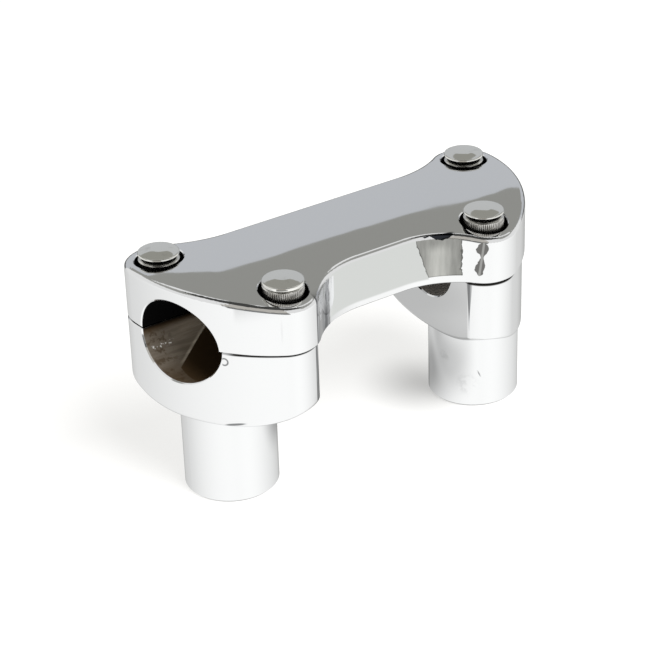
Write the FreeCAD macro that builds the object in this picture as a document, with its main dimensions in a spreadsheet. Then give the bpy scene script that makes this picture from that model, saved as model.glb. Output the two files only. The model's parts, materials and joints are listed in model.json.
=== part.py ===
import FreeCAD, Part
import math
import os
import Sketcher

# Motorcycle handlebar riser: two risers joined by a one-piece bridged top clamp.
# Millimetres. The origin is on the floor midway between the two posts, +X runs along
# the handlebar to the right riser, +Y points at the front wheel and +Z is up.

SIZES = {
    "BarDiameter": (25.4, "handlebar, one inch"),
    "BarRise": (50.8, "bar centre above the feet of the posts, two inches"),
    "PostSpacing": (88.9, "between the post centres, three and a half inches"),
    "PostDiameter": (27.7, "round post of each riser"),
    "PostEdge": (0.6, "chamfer round the foot of the post"),
    "PostShoulder": (26.4, "height of the underside of the saddle at the post"),
    "UndersideFlat": (12.0, "radius of the flat middle of the underside, inside the post"),
    "UndersideRadius": (28.0, "radius of the sweep from there up to the lobes"),
    "UndersideRound": (1.2, "rounded lower edge of the saddle"),
    "SaddleInner": (8.25, "flat inner face of the saddle, inwards from the rear screw"),
    "SaddleCorner": (3.0, "rounded front corner of the inner face"),
    "SaddleEdge": (2.5, "rounded rear edge of the inner face"),
    "ScrewPitch": (39.7, "between the two clamp screws of one riser"),
    "ScrewSkew": (28.9, "turn of the screw line from the Y axis, in degrees"),
    "LobeRadius": (10.0, "rounded lobe about each screw"),
    "SaddleLobe": (9.0, "rear lobe of the saddle, stepped in a little under the clamp"),
    "SaddleHalfWidth": (15.0, "half thickness of the saddle at its middle"),
    "WaistRear": (15.0, "rear wall of the bridge behind the bar centre"),
    "WaistFront": (19.7, "front wall of the bridge ahead of the bar centre"),
    "RearFlat": (7.7, "half length of the straight rear wall of the bridge"),
    "FrontFlat": (0.9, "straight front wall of a saddle beside its front corner"),
    "CrownHeight": (17.8, "top of the crown above the bar centre"),
    "CrownRadius": (180.0, "radius of the crowned top face"),
    "CrownCrest": (8.0, "crest of the crown ahead of the bar centre"),
    "CrownEnd": (260.0, "radius of the slight fall of the top face beyond the posts"),
    "RimRound": (1.5, "rounded rim of the top face"),
    "SplitGap": (0.5, "open joint between the clamp and the risers"),
    "SplitEdge": (0.35, "broken edge on both sides of the open joint"),
    "BoreEdge": (0.4, "bright chamfer at each mouth of the bar bore"),
    "ScrewDiameter": (7.94, "socket head cap screw, five sixteenths of an inch"),
    "ScrewLength": (25.4, "under the head"),
    "ScrewPoint": (0.9, "chamfer at the point of the screw"),
    "HeadDiameter": (11.9, "screw head"),
    "HeadHeight": (7.94, "screw head"),
    "HeadEdge": (0.5, "chamfer at the top of the screw head"),
    "SocketWidth": (6.35, "hexagon across flats"),
    "SocketDepth": (3.9, "hexagon"),
    "ClearanceHole": (8.4, "screw hole through the clamp"),
    "ThreadFit": (0.05, "radial play between screw and threaded hole"),
    "ThreadDepth": (17.0, "threaded hole in the riser"),
    "CounterboreDiameter": (14.0, "pocket for the screw head"),
    "CounterboreFloor": (7.7, "floor of the pocket above the bar centre"),
    "CounterboreEdge": (0.35, "bright chamfer at the mouth of the pocket"),
    "WasherDiameter": (11.8, "spring lock washer"),
    "WasherBore": (8.2, "spring lock washer"),
    "WasherThickness": (1.9, "spring lock washer"),
    "WasherSplit": (1.2, "cut through the washer"),
    "CapDiameter": (12.0, "snap-in cap over the screw head"),
    "CapThickness": (1.3, "rim of the cap"),
    "CapDome": (0.7, "rise of the dome above the rim"),
    "CapEdge": (0.3, "chamfer round the rim of the cap"),
    "CapLift": (0.5, "gap under a cap that is not pushed home"),
    "PlugDiameter": (5.9, "plug of the cap in the hexagon"),
    "PlugLength": (2.8, "plug of the cap below its rim"),
    "BaseDrill": (10.7, "drilled size of the half inch thread in the post"),
    "BaseDepth": (28.0, "thread in the post"),
    "BaseLead": (0.9, "countersink at the mouth of that thread"),
    "DrillTip": (118.0, "point angle of the drills, in degrees"),
}

START, END, CENTRE = range(1, 4)
X_AXIS_LINE, Y_AXIS_LINE = range(-1, -3, -1)
ORIGIN_POINT = (X_AXIS_LINE, START)
ABOVE_CREST = 2.0
TOUCH = 0.01

doc = FreeCAD.newDocument("BarRiser")

sheet = doc.addObject("Spreadsheet::Sheet", "Sizes")
for row, (alias, (value, note)) in enumerate(SIZES.items(), start=1):
    sheet.set(f"A{row}", note)
    sheet.set(f"B{row}", str(value))
    sheet.setAlias(f"B{row}", alias)
doc.recompute()


def size(alias):
    """Read one driving dimension from the sheet."""
    return float(sheet.get(alias))


def formula(words):
    """Turn a formula of spaced words into an expression on the sheet."""
    return " ".join("Sizes." + word if word in SIZES else word for word in words.split())


# Formulas that several pieces share; the two blends are the concave sweeps between the
# straight walls of the bridge and the lobes
SCREW_X = "ScrewPitch / 2 * sin( ScrewSkew * 1 deg )"
SCREW_Y = "ScrewPitch / 2 * cos( ScrewSkew * 1 deg )"
REAR_BLEND = ("( ( PostSpacing / 2 - ScrewPitch / 2 * sin( ScrewSkew * 1 deg ) - RearFlat ) ^ 2"
              " + ( WaistRear - ScrewPitch / 2 * cos( ScrewSkew * 1 deg ) ) ^ 2 - LobeRadius ^ 2 )"
              " / ( 2 * ( LobeRadius - WaistRear + ScrewPitch / 2 * cos( ScrewSkew * 1 deg ) ) )")
FRONT_BLEND = ("( ( ScrewPitch * sin( ScrewSkew * 1 deg ) + SaddleInner - SaddleCorner - FrontFlat ) ^ 2"
               " + ( WaistFront - ScrewPitch / 2 * cos( ScrewSkew * 1 deg ) ) ^ 2 - LobeRadius ^ 2 )"
               " / ( 2 * ( LobeRadius - WaistFront + ScrewPitch / 2 * cos( ScrewSkew * 1 deg ) ) )")
FLANK_RADIUS = ("( ScrewPitch ^ 2 / 4 + SaddleHalfWidth ^ 2 - LobeRadius ^ 2 )"
                " / ( 2 * ( SaddleHalfWidth - LobeRadius ) )")
INNER_FACE = "0 - SaddleInner - ScrewPitch / 2 * sin( ScrewSkew * 1 deg )"
CLAMP_FACE = "BarRise + SplitGap / 2"
RISER_FACE = "BarRise - SplitGap / 2"
CREST = "BarRise + CrownHeight"
POCKET_FLOOR = "BarRise + CounterboreFloor"
HEAD_SEAT = "BarRise + CounterboreFloor + WasherThickness"
HEAD_TOP = "BarRise + CounterboreFloor + WasherThickness + HeadHeight"


class Outline:
    """The curves of a sketch, with constraints that are bound to the sheet."""

    def __init__(self, body, name, plane, lift=None):
        self.sketch = body.newObject("Sketcher::SketchObject", name)
        support = next(f for f in body.Origin.OriginFeatures if f.Role == plane)
        self.sketch.AttachmentSupport = [(support, "")]
        self.sketch.MapMode = "FlatFace"
        self.sketch.AttachmentOffset = FreeCAD.Placement()
        if lift:
            self.sketch.setExpression("AttachmentOffset.Base.z", formula(lift))

    def line(self, start, end):
        """Add a straight edge between two (x, y) points."""
        points = [FreeCAD.Vector(x, y, 0) for x, y in (start, end)]
        return self.sketch.addGeometry(Part.LineSegment(*points))

    def polygon(self, corners):
        """Add a closed loop of straight edges."""
        edges = [self.line(a, b) for a, b in zip(corners, corners[1:] + corners[:1])]
        for a, b in zip(edges, edges[1:] + edges[:1]):
            self.join(a, END, b, START)
        return edges

    def arc(self, centre, radius, start_angle, end_angle):
        """Add an anticlockwise arc, with its angles in radians."""
        while end_angle < start_angle:
            end_angle += 2 * math.pi
        circle = Part.Circle(FreeCAD.Vector(*centre, 0), FreeCAD.Vector(0, 0, 1), radius)
        return self.sketch.addGeometry(Part.ArcOfCircle(circle, start_angle, end_angle))

    def circle(self, x, y, diameter):
        """Add a circle whose centre and diameter are formulas with first values."""
        centre = FreeCAD.Vector(x[1], y[1], 0)
        edge = self.sketch.addGeometry(Part.Circle(centre, FreeCAD.Vector(0, 0, 1), diameter[1] / 2))
        self.place(edge, CENTRE, x, y)
        self.bind("Diameter", (edge,), diameter)
        return edge

    def join(self, *ends):
        """Make two ends meet."""
        self.sketch.addConstraint(Sketcher.Constraint("Coincident", *ends))

    def smooth(self, *ends):
        """Make two ends meet and run on without a corner."""
        self.sketch.addConstraint(Sketcher.Constraint("Tangent", *ends))

    def rule(self, kind, *parts):
        """Add a constraint that has no size."""
        self.sketch.addConstraint(Sketcher.Constraint(kind, *parts))

    def bind(self, kind, parts, amount):
        """Add a constraint whose size follows a formula on the sheet."""
        index = self.sketch.addConstraint(Sketcher.Constraint(kind, *parts, amount[1]))
        self.sketch.setExpression(f"Constraints[{index}]", formula(amount[0]))

    def place(self, edge, end, x, y):
        """Fix a point at x and y from the origin; a coordinate of None lies on the axis."""
        for kind, amount, axis in (("DistanceX", x, Y_AXIS_LINE), ("DistanceY", y, X_AXIS_LINE)):
            if amount is None or amount[0] == "0":
                self.rule("PointOnObject", edge, end, axis)
            elif amount[1] >= 0:
                self.bind(kind, (*ORIGIN_POINT, edge, end), amount)
            else:
                self.bind(kind, (edge, end, *ORIGIN_POINT), ("0 - ( " + amount[0] + " )", -amount[1]))


def amount(words):
    """A formula together with its value now, for the first shape of a sketch."""
    if words == "0":
        return words, 0.0
    sheet.set("D1", "=" + formula(words).replace("Sizes.", ""))
    sheet.recompute()
    return words, float(sheet.get("D1"))


def feature(body, kind, name, profile, **settings):
    """Add a PartDesign feature; settings that are text are formulas on the sheet."""
    item = body.newObject("PartDesign::" + kind, name)
    if profile is not None:
        item.Profile = profile
    for setting, value in settings.items():
        if isinstance(value, str) and setting != "Type":
            item.setExpression(setting, formula(value))
        else:
            setattr(item, setting, value)
    return item


def new_body(name):
    """Start a sub-part whose label names its file."""
    body = doc.addObject("PartDesign::Body", name)
    body.Label = name
    return body


def edges_where(solid, test):
    """Names of the edges that pass a test, for a fillet or a chamfer."""
    return [f"Edge{i}" for i, edge in enumerate(solid.Shape.Edges, start=1) if test(edge)]


def angle_to(start, end):
    """Direction from one (x, y) point to another, in radians."""
    return math.atan2(end[1] - start[1], end[0] - start[0])


def flank_centre(radius, rear, front, rear_lobe, front_lobe):
    """Centre of the bowed outer flank that touches both lobes of the right riser."""
    to_rear, to_front = radius - rear_lobe, radius - front_lobe
    apart = math.dist(rear, front)
    along = (to_rear ** 2 - to_front ** 2 + apart ** 2) / (2 * apart)
    aside = math.sqrt(to_rear ** 2 - along ** 2)
    x, y = (front[0] - rear[0]) / apart, (front[1] - rear[1]) / apart
    return rear[0] + along * x - aside * y, rear[1] + along * y + aside * x


def sweep_centre(lobe, wall, radius, way):
    """Centre of the concave sweep that runs from a wall of the bridge into a lobe.

    The sweep touches the wall at y = wall and the circle about the lobe; way is 1
    for the front wall and -1 for the rear one.
    """
    y = wall + way * radius
    return lobe[0] - math.sqrt((size("LobeRadius") + radius) ** 2 - (lobe[1] - y) ** 2), y


def saddle_outline(body, name, lift):
    """Plan of the right riser's saddle, about its own post axis.

    It follows the clamp above it on the outside and at the front lobe, and is cut off
    flat on the inside, square to the bar.
    """
    rear_x, rear_y = amount("0 - " + SCREW_X), amount("0 - " + SCREW_Y)
    front_x, front_y = amount(SCREW_X), amount(SCREW_Y)
    lobe, flank = amount("LobeRadius"), amount(FLANK_RADIUS)
    inner, wall = amount(INNER_FACE), amount("WaistFront")
    small = amount("SaddleLobe")
    corner, blend = amount("SaddleCorner"), amount(FRONT_BLEND)
    rear, front = (rear_x[1], rear_y[1]), (front_x[1], front_y[1])
    bow = flank_centre(flank[1], rear, front, small[1], lobe[1])
    sweep = sweep_centre(front, wall[1], blend[1], 1)
    low = (inner[1], rear[1] - math.sqrt(small[1] ** 2 - (inner[1] - rear[0]) ** 2))
    round_centre = (inner[1] + corner[1], wall[1] - corner[1])

    plan = Outline(body, name, "XY_Plane", lift)
    rear_lobe = plan.arc(rear, small[1], angle_to(rear, low), angle_to(bow, rear))
    side = plan.arc(bow, flank[1], angle_to(bow, rear), angle_to(bow, front))
    front_lobe = plan.arc(front, lobe[1], angle_to(bow, front), angle_to(front, sweep))
    front_sweep = plan.arc(sweep, blend[1], -math.pi / 2, angle_to(sweep, front))
    front_wall = plan.line((sweep[0], wall[1]), (round_centre[0], wall[1]))
    turn = plan.arc(round_centre, corner[1], math.pi / 2, math.pi)
    inner_face = plan.line((inner[1], round_centre[1]), low)

    plan.smooth(rear_lobe, END, side, START)
    plan.smooth(side, END, front_lobe, START)
    plan.smooth(front_lobe, END, front_sweep, END)
    plan.smooth(front_sweep, START, front_wall, START)
    plan.smooth(front_wall, END, turn, START)
    plan.smooth(turn, END, inner_face, START)
    plan.join(inner_face, END, rear_lobe, START)
    plan.rule("Horizontal", front_wall)
    plan.rule("Vertical", inner_face)
    plan.place(rear_lobe, CENTRE, rear_x, rear_y)
    plan.place(front_lobe, CENTRE, front_x, front_y)
    plan.bind("DistanceX", (inner_face, END, rear_lobe, CENTRE), amount("SaddleInner"))
    plan.bind("DistanceY", (*ORIGIN_POINT, front_wall, END), wall)
    plan.bind("Radius", (turn,), corner)
    plan.bind("Radius", (front_sweep,), blend)
    plan.bind("Radius", (rear_lobe,), small)
    plan.bind("Radius", (front_lobe,), lobe)
    plan.bind("Radius", (side,), flank)
    return plan.sketch


def clamp_outline(body, name, lift):
    """Plan of the right half of the top clamp, closed along the middle of the bridge."""
    rear_x, rear_y = amount("PostSpacing / 2 - " + SCREW_X), amount("0 - " + SCREW_Y)
    front_x, front_y = amount("PostSpacing / 2 + " + SCREW_X), amount(SCREW_Y)
    lobe, flank = amount("LobeRadius"), amount(FLANK_RADIUS)
    waist_rear, waist_front = amount("0 - WaistRear"), amount("WaistFront")
    blend_rear, blend_front = amount(REAR_BLEND), amount(FRONT_BLEND)
    rear = (rear_x[1], rear_y[1])
    front = (front_x[1], front_y[1])
    bow = flank_centre(flank[1], rear, front, lobe[1], lobe[1])
    sweep_rear = sweep_centre(rear, waist_rear[1], blend_rear[1], -1)
    sweep_front = sweep_centre(front, waist_front[1], blend_front[1], 1)

    plan = Outline(body, name, "XY_Plane", lift)
    rear_wall = plan.line((0, waist_rear[1]), (sweep_rear[0], waist_rear[1]))
    rear_sweep = plan.arc(sweep_rear, blend_rear[1], angle_to(sweep_rear, rear), math.pi / 2)
    rear_lobe = plan.arc(rear, lobe[1], angle_to(rear, sweep_rear), angle_to(bow, rear))
    side = plan.arc(bow, flank[1], angle_to(bow, rear), angle_to(bow, front))
    front_lobe = plan.arc(front, lobe[1], angle_to(bow, front), angle_to(front, sweep_front))
    front_sweep = plan.arc(sweep_front, blend_front[1], -math.pi / 2, angle_to(sweep_front, front))
    front_wall = plan.line((sweep_front[0], waist_front[1]), (0, waist_front[1]))
    middle = plan.line((0, waist_front[1]), (0, waist_rear[1]))

    plan.smooth(rear_wall, END, rear_sweep, END)
    plan.smooth(rear_sweep, START, rear_lobe, START)
    plan.smooth(rear_lobe, END, side, START)
    plan.smooth(side, END, front_lobe, START)
    plan.smooth(front_lobe, END, front_sweep, END)
    plan.smooth(front_sweep, START, front_wall, START)
    plan.join(front_wall, END, middle, START)
    plan.join(middle, END, rear_wall, START)
    plan.rule("Horizontal", rear_wall)
    plan.rule("Horizontal", front_wall)
    plan.place(rear_wall, START, None, waist_rear)
    plan.place(front_wall, END, None, waist_front)
    plan.place(rear_lobe, CENTRE, rear_x, rear_y)
    plan.place(front_lobe, CENTRE, front_x, front_y)
    plan.bind("Radius", (rear_sweep,), blend_rear)
    plan.bind("Radius", (front_sweep,), blend_front)
    plan.bind("Radius", (rear_lobe,), lobe)
    plan.bind("Radius", (side,), flank)
    plan.rule("Equal", rear_lobe, front_lobe)
    return plan.sketch


def screw_circles(body, name, lift, diameter):
    """Circles about the four clamp screws."""
    plan = Outline(body, name, "XY_Plane", lift)
    for side in (-1, 1):
        middle = "PostSpacing / 2" if side > 0 else "0 - PostSpacing / 2"
        for end in (1, -1):
            sign = "+" if side * end > 0 else "-"
            x = amount(f"{middle} {sign} {SCREW_X}")
            y = amount(SCREW_Y if end > 0 else "0 - " + SCREW_Y)
            plan.circle(x, y, amount(diameter))
    return plan.sketch


def through_cut(body, name, profile):
    """A pocket that runs both ways through the whole solid."""
    return feature(body, "Pocket", name, profile, Type="ThroughAll", Midplane=True)


def bar_bore(body):
    """The handlebar's bore along X, with a chamfer at its mouths."""
    plan = Outline(body, "BarSection", "YZ_Plane")
    plan.circle(amount("0"), amount("BarRise"), amount("BarDiameter"))
    bore = through_cut(body, "BarBore", plan.sketch)
    doc.recompute()
    axis_height, radius = size("BarRise"), size("BarDiameter") / 2

    def at_mouth(edge):
        """Whether an edge runs round the bore and not along it."""
        off = [abs(math.hypot(p.y, p.z - axis_height) - radius) for p in edge.discretize(5)]
        return max(off) < TOUCH and edge.BoundBox.YLength > size("BoreEdge")

    mouth = feature(body, "Chamfer", "BoreMouths", None, Size="BoreEdge")
    mouth.Base = (bore, edges_where(bore, at_mouth))
    body.Tip = mouth
    doc.recompute()


def crown_section(body, name, lift=None):
    """Everything above the crowned top face, in a section square to the bar."""
    radius, crest, ahead = amount("CrownRadius"), amount(CREST), amount("CrownCrest")
    centre = (ahead[1], crest[1] - radius[1])
    overhang = amount("ScrewPitch")
    top = amount(f"{CREST} + {2 * ABOVE_CREST}")
    spread = math.asin(overhang[1] / radius[1])
    low = centre[1] + radius[1] * math.cos(spread)
    section = Outline(body, name, "YZ_Plane", lift)
    crown = section.arc(centre, radius[1], math.pi / 2 - spread, math.pi / 2 + spread)
    left = section.line((ahead[1] - overhang[1], low), (ahead[1] - overhang[1], top[1]))
    lid = section.line((ahead[1] - overhang[1], top[1]), (ahead[1] + overhang[1], top[1]))
    right = section.line((ahead[1] + overhang[1], top[1]), (ahead[1] + overhang[1], low))
    for a, b in ((crown, left), (left, lid), (lid, right), (right, crown)):
        section.join(a, END, b, START)
    for edge, kind in ((left, "Vertical"), (lid, "Horizontal"), (right, "Vertical")):
        section.rule(kind, edge)
    section.bind("Radius", (crown,), radius)
    section.bind("DistanceX", (*ORIGIN_POINT, crown, CENTRE), ahead)
    section.bind("DistanceY", (crown, CENTRE, *ORIGIN_POINT), amount(f"CrownRadius - ( {CREST} )"))
    section.bind("DistanceX", (crown, END, crown, CENTRE), overhang)
    section.bind("DistanceX", (crown, CENTRE, crown, START), overhang)
    section.bind("DistanceY", (*ORIGIN_POINT, lid, START), top)
    return section


def end_fall(body):
    """Let the top face fall off slightly beyond both posts, smooth with the crown."""
    section = crown_section(body, "EndSection", "PostSpacing / 2")
    depth = amount(f"CrownEnd - ( {CREST} )")
    reach = amount("ScrewPitch")
    hinge = section.line((0, -depth[1]), (reach[1], -depth[1]))
    section.sketch.setConstruction(hinge, True)
    section.rule("Horizontal", hinge)
    section.rule("PointOnObject", hinge, START, Y_AXIS_LINE)
    section.bind("DistanceY", (hinge, START, *ORIGIN_POINT), depth)
    section.bind("DistanceX", (hinge, START, hinge, END), reach)
    fall = feature(body, "Groove", "CrownEndRight", section.sketch, Angle="asin( ScrewPitch / CrownEnd )")
    fall.ReferenceAxis = (section.sketch, ["Axis0"])
    doc.recompute()
    both = feature(body, "Mirrored", "CrownEnds", None)
    both.Originals = [fall]
    both.MirrorPlane = (next(f for f in body.Origin.OriginFeatures if f.Role == "YZ_Plane"), [""])
    body.Tip = both
    doc.recompute()


def top_clamp():
    """The bridge and both upper halves of the bar clamps, cast in one piece."""
    body = new_body("top_clamp")
    half = feature(body, "Pad", "ClampHalf", clamp_outline(body, "ClampPlan", CLAMP_FACE),
                   Length=f"CrownHeight - SplitGap / 2 + {ABOVE_CREST}")
    whole = feature(body, "Mirrored", "ClampWhole", None)
    whole.Originals = [half]
    whole.MirrorPlane = (next(f for f in body.Origin.OriginFeatures if f.Role == "YZ_Plane"), [""])
    body.Tip = whole

    through_cut(body, "Crown", crown_section(body, "CrownSection").sketch)
    doc.recompute()
    end_fall(body)

    face = amount(CLAMP_FACE)[1]
    rim = feature(body, "Fillet", "Rim", None, Radius="RimRound")
    before = body.getObject("CrownEnds")
    rim.Base = (before, edges_where(before, lambda e: e.BoundBox.ZMin > face + size("CrownHeight") / 2
                                    and e.BoundBox.XLength > TOUCH))
    body.Tip = rim
    doc.recompute()

    lower = feature(body, "Chamfer", "SplitEdgeClamp", None, Size="SplitEdge")
    lower.Base = (rim, edges_where(rim, lambda e: e.BoundBox.ZMax < face + size("SplitEdge") / 2))
    body.Tip = lower
    doc.recompute()

    bar_bore(body)
    through_cut(body, "ScrewHoles", screw_circles(body, "ScrewPlan", None, "ClearanceHole"))
    pockets = feature(body, "Pocket", "Counterbores",
                      screw_circles(body, "PocketPlan", POCKET_FLOOR, "CounterboreDiameter"),
                      Type="ThroughAll", Reversed=True)
    doc.recompute()

    floor = amount(POCKET_FLOOR)[1]
    mouth = size("CounterboreDiameter") / 2

    def pocket_rim(edge):
        """Whether an edge is where a pocket breaks the crown."""
        box = edge.BoundBox
        return box.ZMin > floor + 1 and abs(box.XLength / 2 - mouth) < mouth / 100

    bright = feature(body, "Chamfer", "PocketRims", None, Size="CounterboreEdge")
    bright.Base = (pockets, edges_where(pockets, pocket_rim))
    body.Tip = bright
    return body


def right_riser():
    """Saddle with domed underside, lower half of the bar clamp, and post, in one piece."""
    body = new_body("right_riser")
    body.setExpression("Placement.Base.x", formula("PostSpacing / 2"))
    saddle = feature(body, "Pad", "Saddle", saddle_outline(body, "SaddlePlan", "PostShoulder / 2"),
                     Length=f"{RISER_FACE} - PostShoulder / 2")
    doc.recompute()
    inner = amount(INNER_FACE)[1]
    corner = feature(body, "Fillet", "InnerEdge", None, Radius="SaddleEdge")
    corner.Base = (saddle, edges_where(saddle, lambda e: is_upright(e) and e.BoundBox.YMax < 0
                                       and abs(e.BoundBox.XMin - inner) < TOUCH))
    body.Tip = corner

    radius, flat = amount("UndersideRadius"), amount("UndersideFlat")
    low, centre = amount("PostShoulder"), amount("PostShoulder + UndersideRadius")
    wide = amount("ScrewPitch / 2 + LobeRadius + UndersideRound")
    reach = (wide[1] - flat[1]) / radius[1]
    dish = Outline(body, "UndersideSection", "XZ_Plane")
    shelf = dish.line((0, low[1]), (flat[1], low[1]))
    sweep = dish.arc((flat[1], centre[1]), radius[1], -math.pi / 2, -math.acos(reach))
    wall = dish.line((wide[1], centre[1] - radius[1] * math.sqrt(1 - reach ** 2)), (wide[1], 0))
    floor = dish.line((wide[1], 0), (0, 0))
    axis = dish.line((0, 0), (0, low[1]))
    for a, b in ((sweep, wall), (wall, floor), (floor, axis), (axis, shelf)):
        dish.join(a, END, b, START)
    dish.smooth(shelf, END, sweep, START)
    dish.rule("Horizontal", shelf)
    dish.rule("Vertical", wall)
    dish.rule("Vertical", axis)
    dish.rule("Horizontal", floor)
    dish.join(floor, END, *ORIGIN_POINT)
    dish.bind("Radius", (sweep,), radius)
    dish.bind("DistanceX", (shelf, START, shelf, END), flat)
    dish.bind("DistanceY", (*ORIGIN_POINT, axis, END), low)
    dish.bind("DistanceX", (*ORIGIN_POINT, floor, START), wide)
    underside = feature(body, "Groove", "Underside", dish.sketch, Angle=360.0)
    underside.ReferenceAxis = (dish.sketch, ["V_Axis"])
    doc.recompute()

    face = amount(RISER_FACE)[1]
    def on_outline(edge):
        """Whether an edge is where the underside meets the saddle's wall."""
        inside = all(math.hypot(p.x, p.y) < flat[1] + TOUCH for p in edge.discretize(5))
        return edge.BoundBox.ZMax < face and edge.BoundBox.YLength > TOUCH and not inside

    lower = feature(body, "Fillet", "UndersideEdge", None, Radius="UndersideRound")
    lower.Base = (underside, edges_where(underside, on_outline))
    body.Tip = lower
    doc.recompute()

    upper = feature(body, "Chamfer", "SplitEdgeRiser", None, Size="SplitEdge")
    upper.Base = (lower, edges_where(lower, lambda e: e.BoundBox.ZMin > face - TOUCH))
    body.Tip = upper

    foot = Outline(body, "PostPlan", "XY_Plane")
    foot.circle(amount("0"), amount("0"), amount("PostDiameter"))
    column = feature(body, "Pad", "Post", foot.sketch, Length="PostShoulder + UndersideRound")
    doc.recompute()
    edge = feature(body, "Chamfer", "PostFoot", None, Size="PostEdge")
    edge.Base = (column, edges_where(column, lambda e: e.BoundBox.ZMax < TOUCH))
    body.Tip = edge

    bar_bore(body)
    feature(body, "Pocket", "ScrewThreads", thread_circles(body), Length="ThreadDepth")

    bore = amount("BaseDrill / 2")
    mouth = amount("BaseDrill / 2 + BaseLead")
    deep = amount("BaseDepth")
    tip = amount("BaseDepth + BaseDrill / 2 / tan( DrillTip / 2 * 1 deg )")
    lead = amount("BaseLead")
    corners = [(0, 0), (mouth[1], 0), (bore[1], lead[1]), (bore[1], deep[1]), (0, tip[1])]
    drill = Outline(body, "BaseThreadSection", "XZ_Plane")
    base, cone, side_wall, point, centre_line = drill.polygon(corners)
    drill.join(base, START, *ORIGIN_POINT)
    drill.rule("Horizontal", base)
    drill.rule("Vertical", side_wall)
    drill.rule("PointOnObject", centre_line, START, Y_AXIS_LINE)
    drill.bind("DistanceX", (*ORIGIN_POINT, base, END), mouth)
    drill.bind("DistanceX", (*ORIGIN_POINT, side_wall, START), bore)
    drill.bind("DistanceY", (*ORIGIN_POINT, side_wall, START), lead)
    drill.bind("DistanceY", (*ORIGIN_POINT, side_wall, END), deep)
    drill.bind("DistanceY", (*ORIGIN_POINT, centre_line, START), tip)
    threads = feature(body, "Groove", "BaseThread", drill.sketch, Angle=360.0)
    threads.ReferenceAxis = (drill.sketch, ["V_Axis"])
    return body


def is_upright(edge):
    """Whether an edge is a vertical straight one."""
    box = edge.BoundBox
    return box.XLength < TOUCH and box.YLength < TOUCH


def thread_circles(body):
    """Circles of the two screw threads, about the right riser's own post axis."""
    plan = Outline(body, "ThreadPlan", "XY_Plane", RISER_FACE)
    for sign in ("", "0 - "):
        plan.circle(amount(sign + SCREW_X), amount(sign + SCREW_Y), amount("ScrewDiameter + 2 * ThreadFit"))
    return plan.sketch


def left_riser(right):
    """The other hand of the right riser."""
    item = doc.addObject("Part::Mirroring", "left_riser")
    item.Label = "left_riser"
    item.Source = right
    item.Normal = FreeCAD.Vector(1, 0, 0)
    return item


def turned(body, name, corners):
    """Revolve a closed profile about Z; each corner is a pair of formulas (radius, height)."""
    points = [(amount(x), amount(z)) for x, z in corners]
    section = Outline(body, name + "Section", "XZ_Plane")
    edges = section.polygon([(x[1], z[1]) for x, z in points])
    for edge, (x, z) in zip(edges, points):
        section.place(edge, START, None if x[0] == "0" else x, None if z[0] == "0" else z)
    item = feature(body, "Revolution", name, section.sketch, Angle=360.0)
    item.ReferenceAxis = (section.sketch, ["V_Axis"])
    return item


def at_screw(body, side, end, height):
    """Set a fastener over its screw axis at a height given by a formula."""
    middle = "PostSpacing / 2" if side > 0 else "0 - PostSpacing / 2"
    sign = "+" if side * end > 0 else "-"
    body.setExpression("Placement.Base.x", formula(f"{middle} {sign} {SCREW_X}"))
    body.setExpression("Placement.Base.y", formula(SCREW_Y if end > 0 else "0 - " + SCREW_Y))
    body.setExpression("Placement.Base.z", formula(height))


def clamp_screw(name, side, end):
    """Socket head cap screw; its own origin is under the head."""
    body = new_body(name)
    turned(body, "Blank", [
        ("0", "0 - ScrewLength"),
        ("ScrewDiameter / 2 - ScrewPoint", "0 - ScrewLength"),
        ("ScrewDiameter / 2", "ScrewPoint - ScrewLength"),
        ("ScrewDiameter / 2", "0"),
        ("HeadDiameter / 2", "0"),
        ("HeadDiameter / 2", "HeadHeight - HeadEdge"),
        ("HeadDiameter / 2 - HeadEdge", "HeadHeight"),
        ("0", "HeadHeight")])
    corner = amount("SocketWidth / sqrt( 3 )")
    hexagon = Outline(body, "SocketPlan", "XY_Plane", "HeadHeight")
    points = [(corner[1] * math.cos(k * math.pi / 3), corner[1] * math.sin(k * math.pi / 3)) for k in range(6)]
    sides = hexagon.polygon(points)
    ring = hexagon.sketch.addGeometry(Part.Circle(FreeCAD.Vector(), FreeCAD.Vector(0, 0, 1), corner[1]), True)
    hexagon.join(ring, CENTRE, *ORIGIN_POINT)
    for edge in sides:
        hexagon.rule("PointOnObject", edge, START, ring)
    for edge in sides[1:]:
        hexagon.rule("Equal", sides[0], edge)
    hexagon.rule("PointOnObject", sides[0], START, X_AXIS_LINE)
    hexagon.bind("Radius", (ring,), corner)
    feature(body, "Pocket", "Socket", hexagon.sketch, Length="SocketDepth")
    at_screw(body, side, end, HEAD_SEAT)
    return body


def lock_washer(name, side, end):
    """Split spring washer between the screw head and the floor of its pocket."""
    body = new_body(name)
    turned(body, "Ring", [
        ("WasherBore / 2", "0"),
        ("WasherDiameter / 2", "0"),
        ("WasherDiameter / 2", "WasherThickness"),
        ("WasherBore / 2", "WasherThickness")])
    half, out = amount("WasherSplit / 2"), amount("WasherDiameter")
    slot = Outline(body, "SplitPlan", "XY_Plane", "WasherThickness")
    low, far, high, near = slot.polygon([(0, -half[1]), (out[1], -half[1]), (out[1], half[1]), (0, half[1])])
    for edge, kind in ((low, "Horizontal"), (far, "Vertical"), (high, "Horizontal"), (near, "Vertical")):
        slot.rule(kind, edge)
    slot.rule("PointOnObject", low, START, Y_AXIS_LINE)
    slot.bind("DistanceX", (*ORIGIN_POINT, low, END), out)
    slot.bind("DistanceY", (low, START, *ORIGIN_POINT), half)
    slot.bind("DistanceY", (*ORIGIN_POINT, high, END), half)
    feature(body, "Pocket", "Split", slot.sketch, Type="ThroughAll")
    at_screw(body, side, end, POCKET_FLOOR)
    return body


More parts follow.
